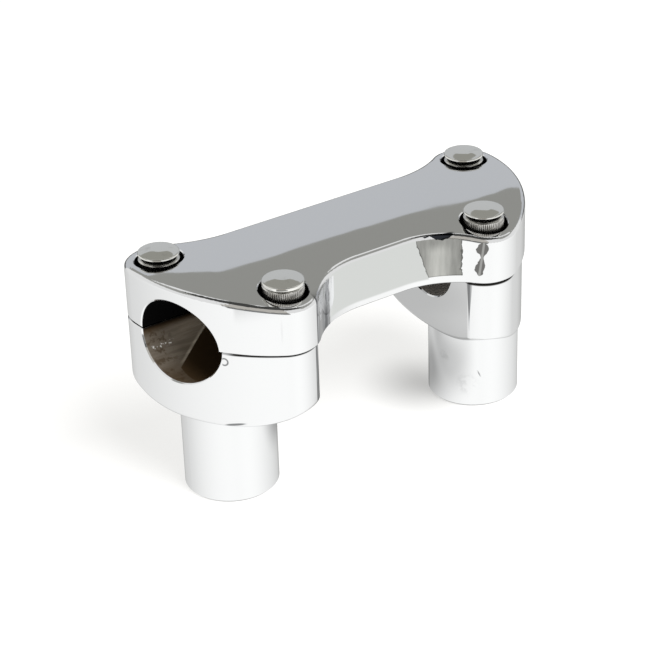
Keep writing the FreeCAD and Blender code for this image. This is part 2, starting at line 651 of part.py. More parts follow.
def screw_cap(name, side, end, lift):
    """Domed snap-in cap; its own origin is under the rim, on the axis of the plug."""
    body = new_body(name)
    rim = amount("CapDiameter / 2 - CapEdge")
    reach = amount("PlugDiameter / 2")
    top = amount("CapThickness")
    crest = amount("CapThickness + CapDome")
    dome = amount("( ( CapDiameter / 2 - CapEdge ) ^ 2 + CapDome ^ 2 ) / ( 2 * CapDome )")
    side_top = amount("CapThickness - CapEdge")
    outer = amount("CapDiameter / 2")
    depth = amount("0 - PlugLength")
    section = Outline(body, "CapSection", "XZ_Plane")
    centre = (0, crest[1] - dome[1])
    plug_end = section.line((0, depth[1]), (reach[1], depth[1]))
    plug_side = section.line((reach[1], depth[1]), (reach[1], 0))
    under = section.line((reach[1], 0), (outer[1], 0))
    edge = section.line((outer[1], 0), (outer[1], side_top[1]))
    bevel = section.line((outer[1], side_top[1]), (rim[1], top[1]))
    crown = section.arc(centre, dome[1], angle_to(centre, (rim[1], top[1])), math.pi / 2)
    axis = section.line((0, crest[1]), (0, depth[1]))
    loop = [plug_end, plug_side, under, edge, bevel, crown, axis]
    for a, b in zip(loop, loop[1:] + loop[:1]):
        section.join(a, END, b, START)
    section.place(plug_end, START, None, depth)
    section.place(plug_side, START, reach, depth)
    section.place(under, START, reach, None)
    section.place(edge, START, outer, None)
    section.place(bevel, START, outer, side_top)
    section.place(crown, START, rim, top)
    section.rule("PointOnObject", crown, CENTRE, Y_AXIS_LINE)
    section.place(axis, START, None, crest)
    item = feature(body, "Revolution", "Cap", section.sketch, Angle=360.0)
    item.ReferenceAxis = (section.sketch, ["V_Axis"])
    at_screw(body, side, end, HEAD_TOP + (" + CapLift" if lift else ""))
    return body


RISER_SIDES = {"left": -1, "right": 1}
SCREW_ENDS = {"front": 1, "rear": -1}
SEATED_CAPS = {("left", "rear")}

parts = [top_clamp(), right_riser()]
parts.append(left_riser(parts[-1]))
for side_name, side_sign in RISER_SIDES.items():
    for end_name, end_sign in SCREW_ENDS.items():
        place_name = f"{side_name}_{end_name}"
        lifted = (side_name, end_name) not in SEATED_CAPS
        parts.append(clamp_screw(f"clamp_screw_{place_name}", side_sign, end_sign))
        parts.append(lock_washer(f"lock_washer_{place_name}", side_sign, end_sign))
        parts.append(screw_cap(f"screw_cap_{place_name}", side_sign, end_sign, lifted))
doc.recompute()

for item in doc.Objects:
    if "Invalid" in item.State or "Error" in item.State:
        raise RuntimeError(f"{item.Label} did not compute: {item.State}")
for body in parts:
    if body.Shape.isNull() or not body.Shape.isValid() or len(body.Shape.Solids) != 1:
        raise RuntimeError(f"{body.Label} is not one valid solid")

os.makedirs("parts", exist_ok=True)
for body in parts:
    body.Shape.exportStep(f"parts/{body.Label}.step")
    print(f"{body.Label}: {body.Shape.Volume:.1f} mm3")
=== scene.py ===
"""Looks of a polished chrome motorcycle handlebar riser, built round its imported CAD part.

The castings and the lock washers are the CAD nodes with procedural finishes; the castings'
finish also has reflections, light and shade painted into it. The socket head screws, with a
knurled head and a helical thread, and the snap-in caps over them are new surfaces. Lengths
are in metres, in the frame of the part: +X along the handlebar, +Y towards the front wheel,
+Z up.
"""

import json
import logging
import math
from dataclasses import dataclass
from enum import Enum
from typing import NamedTuple

import bpy
import numpy as np
from mathutils import Matrix, Vector


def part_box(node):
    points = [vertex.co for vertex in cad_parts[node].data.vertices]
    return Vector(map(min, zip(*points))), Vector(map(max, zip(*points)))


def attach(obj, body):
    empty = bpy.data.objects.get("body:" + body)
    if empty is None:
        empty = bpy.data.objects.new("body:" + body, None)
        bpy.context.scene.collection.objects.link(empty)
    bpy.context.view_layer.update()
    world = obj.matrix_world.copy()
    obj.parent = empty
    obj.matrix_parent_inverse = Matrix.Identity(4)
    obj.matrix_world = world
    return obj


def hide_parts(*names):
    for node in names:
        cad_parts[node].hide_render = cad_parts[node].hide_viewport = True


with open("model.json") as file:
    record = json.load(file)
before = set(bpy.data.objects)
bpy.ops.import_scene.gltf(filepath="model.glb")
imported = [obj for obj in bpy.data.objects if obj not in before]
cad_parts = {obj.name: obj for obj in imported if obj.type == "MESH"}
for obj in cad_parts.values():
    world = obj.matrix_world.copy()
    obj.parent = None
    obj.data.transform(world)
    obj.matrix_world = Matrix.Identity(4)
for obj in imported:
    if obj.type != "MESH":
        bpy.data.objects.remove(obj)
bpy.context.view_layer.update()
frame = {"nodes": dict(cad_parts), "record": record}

MM = 0.001
BODY = "root"
log = logging.getLogger("bar_riser")

Socket = bpy.types.NodeSocket
Value = float | tuple[float, ...] | Socket
Pair = tuple[float, float]
Triple = tuple[float, float, float]
Colour = tuple[float, float, float, float]

# level headings from the part, as x and y
TO_CAMERA = (-0.56, -0.83)
TO_BENCH = (-0.682, -0.731)
TO_RIGHT = (0.83, -0.56)


def mm(*values: float) -> tuple[float, ...]:
    """Millimetres as metres."""
    return tuple(value * MM for value in values)


class Slot(str, Enum):
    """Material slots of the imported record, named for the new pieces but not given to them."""

    SCREW = "screw"
    CAP = "cap"


class Point(NamedTuple):
    """A position in a shader, as a vector and as its three numbers."""

    vector: Socket
    x: Socket
    y: Socket
    z: Socket


class Graph:
    """A short way to write shader nodes."""

    def __init__(self, tree: bpy.types.NodeTree) -> None:
        """Start on a node tree.

        Args:
            tree: the tree that the nodes go into.
        """
        self.tree = tree

    def node(self, kind: str, inputs: dict[str | int, Value] | None = None,
             **settings: object) -> bpy.types.Node:
        """Add a node.

        Args:
            kind: the node's type without its ShaderNode prefix.
            inputs: a value or a socket for each input that isn't left alone.
            settings: the node's own properties.

        Returns:
            The new node.
        """
        item = self.tree.nodes.new("ShaderNode" + kind)
        for name, value in settings.items():
            setattr(item, name, value)
        for name, value in (inputs or {}).items():
            self.feed(item.inputs[name], value)
        return item

    def feed(self, socket: Socket, value: Value) -> None:
        """Set an input to a number or colour, or link it to another socket.

        Args:
            socket: the input.
            value: what it gets.
        """
        if isinstance(value, bpy.types.NodeSocket):
            self.tree.links.new(value, socket)
        else:
            socket.default_value = value

    def math(self, operation: str, *values: Value) -> Socket:
        """Work out a number from numbers."""
        return self.node("Math", dict(enumerate(values)), operation=operation).outputs[0]

    def chain(self, operation: str, values: tuple[Value, ...]) -> Value:
        """Work out one number from several, two at a time.

        Args:
            operation: what is done to the result so far and the next number.
            values: the numbers in their order.

        Returns:
            The last result.
        """
        total = values[0]
        for value in values[1:]:
            total = self.math(operation, total, value)
        return total

    def add(self, *values: Value) -> Value:
        """Sum of several numbers."""
        return self.chain("ADD", values)

    def less(self, first: Value, *others: Value) -> Value:
        """The first number less all the others."""
        return self.chain("SUBTRACT", (first, *others))

    def times(self, *values: Value) -> Value:
        """Product of several numbers or masks."""
        return self.chain("MULTIPLY", values)

    def most(self, *values: Value) -> Value:
        """The largest of several numbers."""
        return self.chain("MAXIMUM", values)

    def least(self, *values: Value) -> Value:
        """The smallest of several numbers."""
        return self.chain("MINIMUM", values)

    def away(self, value: Value, centre: Value) -> Socket:
        """Distance of a number from a centre, never below 0."""
        return self.math("ABSOLUTE", self.less(value, centre))

    def ramp(self, value: Value, low: float, high: float) -> Socket:
        """A smooth step from 0 at low to 1 at high; low above high makes it fall."""
        inputs = {"Value": value, "From Min": low, "From Max": high}
        return self.node("MapRange", inputs, interpolation_type="SMOOTHSTEP").outputs["Result"]

    def bell(self, value: Value, centre: float, width: float) -> Socket:
        """1 at the centre, falling smoothly to 0 at the width either side."""
        return self.ramp(self.away(value, centre), width, 0.0)

    def mix(self, factor: Value, first: Value, second: Value) -> Socket:
        """Blend two colours.

        Args:
            factor: 0 for the first colour, 1 for the second.
            first: a colour.
            second: another.

        Returns:
            The blend.
        """
        item = self.node("Mix", data_type="RGBA")
        self.feed(item.inputs[0], factor)
        self.feed(item.inputs[6], first)
        self.feed(item.inputs[7], second)
        return item.outputs[2]

    def noise(self, vector: Socket, scale: float, detail: float = 2.0, rough: float = 0.5) -> Socket:
        """Noise between 0 and 1 over a position."""
        inputs = {"Vector": vector, "Scale": scale, "Detail": detail, "Roughness": rough}
        return self.node("TexNoise", inputs).outputs["Fac"]

    def stretched(self, vector: Socket, scale: Triple) -> Socket:
        """A position with each number multiplied by its own scale."""
        return self.node("Mapping", {"Vector": vector, "Scale": scale}).outputs[0]

    def wander(self, noise: Value, reach: float) -> Value:
        """Noise turned into a shift of up to half the reach either way."""
        return self.times(self.less(noise, 0.5), reach)

    def length(self, *values: Value) -> Socket:
        """Length of a vector given by its numbers."""
        return self.math("SQRT", self.add(*(self.times(value, value) for value in values)))

    def distance(self, vector: Socket, centre: Triple) -> Socket:
        """Distance of a position from a fixed point."""
        return self.node("VectorMath", {0: vector, 1: centre}, operation="DISTANCE").outputs["Value"]

    def towards(self, x: Socket, y: Socket, heading: Pair) -> Socket:
        """Cosine of the level angle between a direction and a heading."""
        along = self.add(self.times(x, heading[0]), self.times(y, heading[1]))
        return self.math("DIVIDE", along, self.add(self.length(x, y), 1e-6))

    def axes(self, vector: Socket) -> tuple[Socket, Socket, Socket]:
        """Split a vector into its three numbers."""
        parts = self.node("SeparateXYZ", {"Vector": vector}).outputs
        return parts[0], parts[1], parts[2]

    def point(self, vector: Socket) -> Point:
        """Keep a position with its three numbers."""
        return Point(vector, *self.axes(vector))


class Group(NamedTuple):
    """A shader node group in the making, with its input and output nodes."""

    tree: bpy.types.NodeTree
    graph: Graph
    start: bpy.types.Node
    end: bpy.types.Node


def new_group(name: str, numbers: dict[str, float], outputs: tuple[str, ...]) -> Group:
    """Start a shader node group that reads a position.

    Args:
        name: the group's name.
        numbers: its inputs besides the position, each with its first value.
        outputs: its outputs, all of them numbers.

    Returns:
        The group, ready for its nodes.
    """
    tree = bpy.data.node_groups.new(name, "ShaderNodeTree")
    tree.interface.new_socket("Vector", in_out="INPUT", socket_type="NodeSocketVector")
    for label, value in numbers.items():
        socket = tree.interface.new_socket(label, in_out="INPUT", socket_type="NodeSocketFloat")
        socket.default_value = value
    for label in outputs:
        tree.interface.new_socket(label, in_out="OUTPUT", socket_type="NodeSocketFloat")
    start, end = tree.nodes.new("NodeGroupInput"), tree.nodes.new("NodeGroupOutput")
    return Group(tree, Graph(tree), start, end)


class ScrewAxes(NamedTuple):
    """Places of the four clamp screws: x (both hands alike) and y of the front and rear ones."""

    front: Pair
    rear: Pair

    @classmethod
    def from_frame(cls) -> "ScrewAxes":
        """Read the axes from the boxes of the right-hand screws.

        Returns:
            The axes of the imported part.
        """
        places = []
        for end in ("front", "rear"):
            low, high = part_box(f"clamp_screw_right_{end}")
            middle = (Vector(low) + Vector(high)) / 2
            places.append((middle.x, middle.y))
        return cls(*places)


@dataclass(frozen=True)
class BuffedPlating:
    """Buffed plating: a slow waviness, fine hairlines along the bar and hazy patches.

    Here and in every finish, a noise is given by its scale, its detail and, where it isn't
    the usual half, its roughness.
    """

    wave_noise: Pair = (70.0, 1.0)
    hair_stretch: Triple = (40.0, 900.0, 900.0)
    hair_noise: Triple = (1.0, 3.0, 0.7)
    hair_range: Pair = (0.56, 0.8)
    hair_dullness: float = 0.03
    patch_noise: Triple = (45.0, 3.0, 0.6)
    patch_range: Pair = (0.5, 0.75)
    patch_dullness: float = 0.02

    def build(self) -> bpy.types.NodeTree:
        """Make the node group.

        Returns:
            A group that gives a roughness and a bump height.
        """
        numbers = {"Wave": 1.0, "Haze": 1.0, "Base Roughness": 0.04}
        tree, g, start, end = new_group("Buffed plating", numbers, ("Roughness", "Height"))
        place = start.outputs["Vector"]
        wave = g.times(g.noise(place, *self.wave_noise), start.outputs["Wave"])
        hairs = g.noise(g.stretched(place, self.hair_stretch), *self.hair_noise)
        patches = g.noise(place, *self.patch_noise)
        dull = g.add(g.times(g.ramp(hairs, *self.hair_range), self.hair_dullness),
                     g.times(g.ramp(patches, *self.patch_range), self.patch_dullness))
        dull = g.times(dull, start.outputs["Haze"])
        g.feed(end.inputs["Roughness"], g.add(start.outputs["Base Roughness"], dull))
        g.feed(end.inputs["Height"], wave)
        return tree


@dataclass(frozen=True)
class Recesses:
    """Masks of the bar bore, the screw pockets and the open joint between clamp and risers, with
    a band of painted shade just under the joint behind the rear lobes.

    In each pair the mask is 0 at the first value and 1 at the second.

    Attributes:
        axes: where the screws stand.
        bar_height: height of the bar's axis.
        bore_wall: radius about the bar.
        pocket_wall: radius about a screw.
        pocket_foot: height over the bar's axis where the pockets end.
        joint_fade: height over or under the joint where its dark line has faded out.
        shade_foot: height of the lower edge of the shade behind the rear lobes.
        shade_top: height of its upper edge.
        shade_rear: how far behind the bar it starts.
        far_lift: how much higher its lower edge is on the far riser.
    """

    axes: ScrewAxes
    bar_height: float
    bore_wall: Pair = mm(12.80, 12.72)
    pocket_wall: Pair = mm(7.12, 7.04)
    pocket_foot: float = 7.5 * MM
    joint_fade: float = 0.4 * MM
    shade_foot: Pair = mm(-0.85, -0.45)
    shade_top: Pair = mm(0.25, 0.15)
    shade_rear: Pair = mm(-13, -16)
    far_lift: float = 0.35 * MM

    def build(self) -> bpy.types.NodeTree:
        """Make the node group.

        Returns:
            A group that gives the masks and the angle round the bar in degrees.
        """
        outputs = ("Bore", "Pocket", "Split", "Angle")
        tree, g, start, end = new_group("Unpolished recesses", {}, outputs)
        x, y, z = g.axes(start.outputs["Vector"])
        up = g.less(z, self.bar_height)
        g.feed(end.inputs["Bore"], g.ramp(g.length(y, up), *self.bore_wall))
        near = [g.length(g.less(g.math("ABSOLUTE", x), screw_x), g.less(y, screw_y))
                for screw_x, screw_y in self.axes]
        above = g.math("GREATER_THAN", z, self.bar_height + self.pocket_foot)
        # the pockets' mask, where the chrome is painted dark as shade
        g.feed(end.inputs["Pocket"], g.times(g.ramp(g.least(*near), *self.pocket_wall), above))
        lifted = g.add(up, g.times(g.math("GREATER_THAN", x, 0.0), self.far_lift))
        # painted shade: a band at and just under the joint behind the rear lobes, under the clamp's
        # overhang
        shade = g.times(g.ramp(lifted, *self.shade_foot), g.ramp(up, *self.shade_top),
                        g.ramp(y, *self.shade_rear))
        g.feed(end.inputs["Split"], g.most(g.bell(up, 0.0, self.joint_fade), shade))
        g.feed(end.inputs["Angle"], g.math("DEGREES", g.math("ARCTAN2", up, y)))
        return tree


@dataclass(frozen=True)
class PlatingMarksAndPaintedReflections:
    """Smears, blemishes, a scratch and a run of the plating, with painted reflections and a
    painted shadow, where the photo shows them.

    Each method works out one mark from 0, clean, to 1, black. In a pair for a side, the
    mask is 0 at the first value and 1 at the second; a pair for a band is its centre and
    the distance where it has faded out.
    """

    ripple_noise: Pair = (260.0, 2.0)
    ripple: float = 2.0 * MM
    sweep_left: Pair = mm(-29.95, -29.6)
    sweep_right: Pair = mm(-19.7, -20.9)
    sweep_rear: Pair = mm(-17.6, -18.0)
    sweep_top: Pair = mm(66.2, 65.2)
    sweep_tone: float = 0.52
    sweep_bands: tuple[tuple[Pair, float], ...] = ((mm(-29.5, 0.7), 0.42), (mm(-20.6, 0.5), 0.3))
    sweep_low_band: Pair = mm(-22.6, 2.2)
    sweep_low_top: Pair = mm(62, 55)
    sweep_low_tone: float = 0.5
    sweep_limit: float = 0.95
    taper_tip: float = 35.5 * MM
    taper_slope: float = 0.07
    taper_y: float = -21.15 * MM
    taper_edge: Pair = mm(0, 0.2)
    taper_band: Pair = mm(26.7, 0.8)
    taper_top: Pair = mm(50.2, 50.0)
    taper_tone: float = 0.7
    rim_foot: float = 66.45 * MM
    rim_lens_band: Pair = mm(19.4, 3.6)
    rim_sag: float = 1.3 * MM
    rim_noise: Triple = (900.0, 3.0, 0.7)
    rim_edge: Pair = mm(0, 0.2)
    rim_top: Pair = mm(66.85, 66.7)
    rim_rear: Pair = mm(-15.2, -15.7)
    rim_band: Pair = mm(18.2, 6.2)
    rim_gain: Pair = (0.0, 0.25)
    crescent_foot: float = 27.3 * MM
    crescent_start: float = -12.8 * MM
    crescent_rise: float = 0.24
    crescent_height_band: Pair = mm(0, 0.55)
    crescent_band: Pair = mm(-15.0, 3.2)
    crescent_side: Pair = mm(-44, -46)
    crescent_gain: Pair = (0.0, 0.5)
    crescent_tone: float = 0.75
    blemish_centre: Triple = mm(-52.7, -13.4, 47.9)
    blemish_band: Pair = mm(1.05, 0.42)
    blemish_side: Pair = mm(-53.2, -52.9)
    blemish_tone: float = 0.85
    scratch_centre: Pair = mm(37.2, 12.7)
    scratch_slope: float = 0.36
    scratch_width: float = 0.3 * MM
    scratch_band: Pair = mm(11.6, 1.6)
    scratch_rear: Pair = mm(0, -1)
    scratch_tone: float = 0.75
    smears: tuple[tuple[Triple, Pair], ...] = ((mm(34.6, -9.6, 8.0), mm(4.5, 1.5)),
                                               (mm(31.2, -3.5, 16.6), mm(2.6, 1.0)))
    cloud_noise: Triple = (330.0, 3.0, 0.6)
    cloud_range: Pair = (0.42, 0.62)
    smear_tone: float = 0.13
    run_band: Pair = mm(-40.9, 0.4)
    run_rear: Pair = mm(-24, -24.5)
    run_height_band: Pair = mm(59, 5)
    run_tone: float = 0.08

    def build(self) -> bpy.types.NodeTree:
        """Make the node group.

        Returns:
            A group that gives the tone of the marks and of the painted reflections and shadow: 1 is
            clean, less is darker.
        """
        tree, g, start, end = new_group("Plating marks", {}, ("Tone",))
        at = g.point(start.outputs["Vector"])
        wavy = g.add(at.x, g.wander(g.noise(at.vector, *self.ripple_noise), self.ripple))
        dark = g.most(self._sweep(g, at, wavy), self._taper(g, at), self._rim(g, at, wavy),
                      self._crescent(g, at), self._blemish(g, at), self._scratch(g, at),
                      self._smears(g, at), self._run(g, at))
        g.feed(end.inputs["Tone"], g.less(1.0, dark))
        return tree

    def _sweep(self, g: Graph, at: Point, wavy: Value) -> Value:
        """Painted reflection: grey streaks down the concave sweep of the near clamp lobe.

        Args:
            g: the graph of the group.
            at: the position.
            wavy: x with a ripple.

        Returns:
            How dark the streaks are.
        """
        left, right = self.sweep_bands
        sides = g.times(g.ramp(at.x, *self.sweep_left), g.ramp(wavy, *self.sweep_right),
                        g.ramp(at.y, *self.sweep_rear), g.ramp(at.z, *self.sweep_top))
        low = g.times(g.bell(wavy, *self.sweep_low_band), g.ramp(at.z, *self.sweep_low_top))
        tone = g.add(self.sweep_tone, g.times(g.bell(at.x, *left[0]), left[1]),
                     g.times(g.bell(wavy, *right[0]), right[1]), g.times(low, self.sweep_low_tone))
        return g.times(sides, g.least(self.sweep_limit, tone))

    def _taper(self, g: Graph, at: Point) -> Value:
        """Painted dark reflection: a streak on the rear vertical edge of the far riser, wider towards its
        top.

        Args:
            g: the graph of the group.
            at: the position.

        Returns:
            How dark the streak is.
        """
        half = g.times(g.less(at.z, self.taper_tip), self.taper_slope)
        inside = g.less(half, g.away(at.y, self.taper_y))
        return g.times(g.ramp(inside, *self.taper_edge), g.bell(at.x, *self.taper_band),
                       g.ramp(at.z, *self.taper_top), self.taper_tone)

    def _rim(self, g: Graph, at: Point, wavy: Value) -> Value:
        """Painted black reflection: a streak with a ragged foot in the rounded rim over the far sweep.

        Args:
            g: the graph of the group.
            at: the position.
            wavy: x with a ripple.

        Returns:
            How dark the streak is.
        """
        lens = g.times(g.bell(wavy, *self.rim_lens_band), self.rim_sag)
        ragged = g.wander(g.noise(at.vector, *self.rim_noise), self.rim_sag)
        foot = g.less(self.rim_foot, lens, ragged)
        rim = g.times(g.ramp(g.less(at.z, foot), *self.rim_edge), g.ramp(at.z, *self.rim_top),
                      g.ramp(at.y, *self.rim_rear), g.bell(at.x, *self.rim_band))
        return g.ramp(rim, *self.rim_gain)

    def _crescent(self, g: Graph, at: Point) -> Value:
        """Painted shadow: a dark crescent along the foot of the near riser's saddle.

        Args:
            g: the graph of the group.
            at: the position.

        Returns:
            How dark the crescent is.
        """
        rise = g.times(g.less(self.crescent_start, at.y), self.crescent_rise)
        over = g.less(at.z, g.add(self.crescent_foot, rise))
        shape = g.times(g.bell(over, *self.crescent_height_band), g.bell(at.y, *self.crescent_band),
                        g.ramp(at.x, *self.crescent_side))
        return g.times(g.ramp(shape, *self.crescent_gain), self.crescent_tone)

    def _blemish(self, g: Graph, at: Point) -> Value:
        """A half-round blemish beside the bore of the near riser."""
        ring = g.bell(g.distance(at.vector, self.blemish_centre), *self.blemish_band)
        return g.times(ring, g.ramp(at.x, *self.blemish_side), self.blemish_tone)

    def _scratch(self, g: Graph, at: Point) -> Value:
        """A slanting scratch on the rear of the far post.

        Args:
            g: the graph of the group.
            at: the position.

        Returns:
            How dark the scratch is.
        """
        middle_x, middle_z = self.scratch_centre
        line = g.add(g.times(g.less(middle_z, at.z), self.scratch_slope), middle_x)
        return g.times(g.bell(g.less(at.x, line), 0.0, self.scratch_width),
                       g.ramp(at.y, *self.scratch_rear), g.bell(at.z, *self.scratch_band),
                       self.scratch_tone)

    def _smears(self, g: Graph, at: Point) -> Value:
        """Two faint cloudy smears on the far post.

        Args:
            g: the graph of the group.
            at: the position.

        Returns:
            How dark the smears are.
        """
        cloud = g.ramp(g.noise(at.vector, *self.cloud_noise), *self.cloud_range)
        spots = (g.ramp(g.distance(at.vector, centre), *reach) for centre, reach in self.smears)
        return g.times(g.most(*spots), cloud, self.smear_tone)

    def _run(self, g: Graph, at: Point) -> Value:
        """A faint run down the near clamp lobe."""
        return g.times(g.bell(at.x, *self.run_band), g.ramp(at.y, *self.run_rear),
                       g.bell(at.z, *self.run_height_band), self.run_tone)


class Effects:
    """The shader node groups of the finishes, with their painted reflections and shade, each built once."""

    def __init__(self, axes: ScrewAxes, bar_height: float) -> None:
        """Build the groups.

        Args:
            axes: where the screws stand.
            bar_height: height of the bar's axis.
        """
        self.polish = BuffedPlating().build()
        self.recesses = Recesses(axes, bar_height).build()
        # plating marks, with painted reflections and a painted shadow
        self.marks = PlatingMarksAndPaintedReflections().build()


class Metal(NamedTuple):
    """A material in the making: its graph, its Principled BSDF and its Object coordinates."""

    material: bpy.types.Material
    graph: Graph
    skin: bpy.types.Node
    place: Socket

    @classmethod
    def start(cls, name: str) -> "Metal":
        """Start a material.

        Args:
            name: the material's name.

        Returns:
            The material, ready for its nodes.
        """
        material = bpy.data.materials.new(name)
        material.use_nodes = True
        g = Graph(material.node_tree)
        return cls(material, g, g.tree.nodes["Principled BSDF"], g.node("TexCoord").outputs["Object"])

    def effect(self, tree: bpy.types.NodeTree, **numbers: float) -> bpy.types.Node:
        """Place a node group, fed with the position.

        Args:
            tree: the group.
            numbers: its other inputs, by name with an underscore for each space.

        Returns:
            The group's node.
        """
        inputs = {label.replace("_", " "): value for label, value in numbers.items()}
        return self.graph.node("Group", {"Vector": self.place, **inputs}, node_tree=tree)

    def bump(self, height: Value, strength: float, depth: float) -> None:
        """Let a height roughen the surface's normal."""
        item = self.graph.node("Bump", {"Strength": strength, "Distance": depth, "Height": height})
        self.graph.feed(self.skin.inputs["Normal"], item.outputs["Normal"])


@dataclass(frozen=True)
class BoreOxideAndPaintedLight:
    """Brown oxide in the bore, with painted light and shade: painted shade above the joint; below
    it, painted lit as far as a slanting edge, with a painted highlight along that edge, and
    painted shade on the mouth's side of it. The far half is painted pale, as lit, and the near
    half is darker towards its foot.

    The angle round the bar is in degrees: 0 towards the front wheel, -90 at the bottom. In
    a pair for a side, the mask is 0 at the first value and 1 at the second.
    """

    mouth: Colour = (0.12, 0.102, 0.082, 1.0)
    deep: Colour = (0.36, 0.305, 0.24, 1.0)
    # pale colour painted on the far half, as lit
    far: Colour = (0.62, 0.59, 0.55, 1.0)
    # painted highlight along the slanting edge
    edge: Colour = (0.66, 0.585, 0.475, 1.0)
    # painted shade where the wall is unlit, also the colour of the foot and of the stains
    dark: Colour = (0.045, 0.028, 0.014, 1.0)
    # painted shade above the joint
    painted_shade_above_joint: Colour = (0.003, 0.003, 0.003, 1.0)
    speck: Colour = (0.8, 0.8, 0.78, 1.0)
    middle: Pair = mm(-10, 0)
    slant_angle: float = -30.0
    slant_x: float = -45.0 * MM
    slant_per_degree: float = 0.3 * MM
    slant_limit: float = -56.4 * MM
    lit_edge: Pair = mm(0.15, -0.15)
    lit_angle: Pair = (-3.0, -17.0)
    foot_angle: Pair = (-45.0, -80.0)
    foot_tone: float = 0.75
    mouth_side: Pair = mm(-62, -45)
    edge_band: Pair = mm(-0.5, 1.3)
    edge_angle: Pair = (-66.0, -50.0)
    turning_stretch: Triple = (60.0, 700.0, 700.0)
    turning_noise: Triple = (1.0, 4.0, 0.7)
    turning_range: Pair = (0.62, 0.4)
    turning_tone: float = 0.3
    blotch_noise: Triple = (420.0, 4.0, 0.65)
    blotch_range: Pair = (0.52, 0.62)
    blotch_side: Pair = mm(-53, -58)
    blotch_tone: float = 0.7
    speck_band: Pair = (-30.0, 5.0)
    speck_inner: Pair = mm(-54, -56)
    speck_outer: Pair = mm(-62.5, -61)
    speck_noise: Pair = (1500.0, 2.0)
    speck_range: Pair = (0.6, 0.64)
    void_angle: Pair = (-8.0, 0.0)

    def colour(self, g: Graph, place: Socket, angle: Socket) -> Socket:
        """Colour of the bore's wall, with its painted light and shade.

        Args:
            g: the graph of the material.
            place: the position.
            angle: the angle round the bar.

        Returns:
            The colour.
        """
        x, _, _ = g.axes(place)
        near, far = g.ramp(x, *self.middle[::-1]), g.ramp(x, *self.middle)
        slant = g.add(g.times(g.less(angle, self.slant_angle), self.slant_per_degree), self.slant_x)
        past = g.less(x, g.most(slant, self.slant_limit))
        # painted light: below the joint the wall is lit on the inner side of the slanting edge and in the
        # far half
        lit = g.times(g.most(g.ramp(past, *self.lit_edge), far), g.ramp(angle, *self.lit_angle))
        brown = g.mix(g.ramp(x, *self.mouth_side), self.mouth, self.deep)
        brown = g.mix(far, brown, self.far)
        colour = g.mix(lit, self.dark, brown)
        # painted highlight along the slanting edge
        edge = g.times(lit, g.bell(past, *self.edge_band), g.ramp(angle, *self.edge_angle), near)
        colour = g.mix(edge, colour, self.edge)
        colour = g.mix(g.times(g.ramp(angle, *self.foot_angle), near, self.foot_tone), colour, self.dark)
        colour = g.mix(self._stains(g, place, x), colour, self.dark)
        colour = g.mix(self._specks(g, place, x, angle), colour, self.speck)
        # painted shade above the joint
        return g.mix(g.ramp(angle, *self.void_angle), colour, self.painted_shade_above_joint)

    def _stains(self, g: Graph, place: Socket, x: Socket) -> Value:
        """Dark turning marks all along, and blotches near the mouth.

        Args:
            g: the graph of the material.
            place: the position.
            x: its place along the bar.

        Returns:
            How dark the stains are.
        """
        turning = g.noise(g.stretched(place, self.turning_stretch), *self.turning_noise)
        blotch = g.noise(place, *self.blotch_noise)
        return g.most(g.times(g.ramp(turning, *self.turning_range), self.turning_tone),
                      g.times(g.ramp(blotch, *self.blotch_range), g.ramp(x, *self.blotch_side),
                              self.blotch_tone))

    def _specks(self, g: Graph, place: Socket, x: Socket, angle: Socket) -> Value:
        """Bright specks in a window near the mouth.

        Args:
            g: the graph of the material.
            place: the position.
            x: its place along the bar.
            angle: the angle round the bar.

        Returns:
            Where the specks are.
        """
        window = g.times(g.bell(angle, *self.speck_band), g.ramp(x, *self.speck_inner),
                         g.ramp(x, *self.speck_outer))
        return g.times(window, g.ramp(g.noise(place, *self.speck_noise), *self.speck_range))


@dataclass(frozen=True)
class PolishedChrome:
    """Bright plating over a polished casting, with marks, painted reflections and painted shade,
    and dull inside its bores, whose brown oxide has light and shade painted on it.

    Only the oxide in the bore isn't a metal. It has no sheen, so the specular level is 0.
    """

    effects: Effects
    name: str = "polished chrome"
    colour: Colour = (0.87, 0.875, 0.885, 1.0)
    # painted shade of the screw pockets, also the colour of the dark open joint
    painted_shade_and_joint_colour: Colour = (0.02, 0.019, 0.017, 1.0)
    # dark of the marks and of the painted reflections and shadow
    marks_and_painted_reflection_colour: Colour = (0.03, 0.033, 0.039, 1.0)
    roughness: float = 0.035
    bore_dullness: float = 0.4
    pocket_dullness: float = 0.35
    haze: float = 1.0
    specular: float = 0.0
    bump: Pair = (0.06, 0.4 * MM)

    def build(self) -> bpy.types.Material:
        """Make the material.

        Returns:
            A metal that reads its pattern from Object coordinates.
        """
        metal = Metal.start(self.name)
        g, skin = metal.graph, metal.skin
        polish = metal.effect(self.effects.polish, Wave=1.0, Haze=self.haze, Base_Roughness=self.roughness)
        masks = metal.effect(self.effects.recesses).outputs
        marks = metal.effect(self.effects.marks)
        # marks, painted reflections and a painted shadow darken the plating
        clean = g.mix(marks.outputs["Tone"], self.marks_and_painted_reflection_colour, self.colour)
        # brown oxide in the bore, with painted light and shade
        bore = BoreOxideAndPaintedLight().colour(g, metal.place, masks["Angle"])
        colour = g.mix(masks["Bore"], clean, bore)
        # painted shade in the screw pockets, and the dark open joint with a band of painted shade under it
        colour = g.mix(masks["Pocket"], colour, self.painted_shade_and_joint_colour)
        colour = g.mix(masks["Split"], colour, self.painted_shade_and_joint_colour)
        g.feed(skin.inputs["Base Color"], colour)
        g.feed(skin.inputs["Metallic"], g.less(1.0, masks["Bore"]))
        g.feed(skin.inputs["Specular IOR Level"], self.specular)
        rough = g.add(polish.outputs["Roughness"], g.times(masks["Bore"], self.bore_dullness),
                      g.times(masks["Pocket"], self.pocket_dullness))
        g.feed(skin.inputs["Roughness"], rough)
        metal.bump(polish.outputs["Height"], *self.bump)
        return metal.material


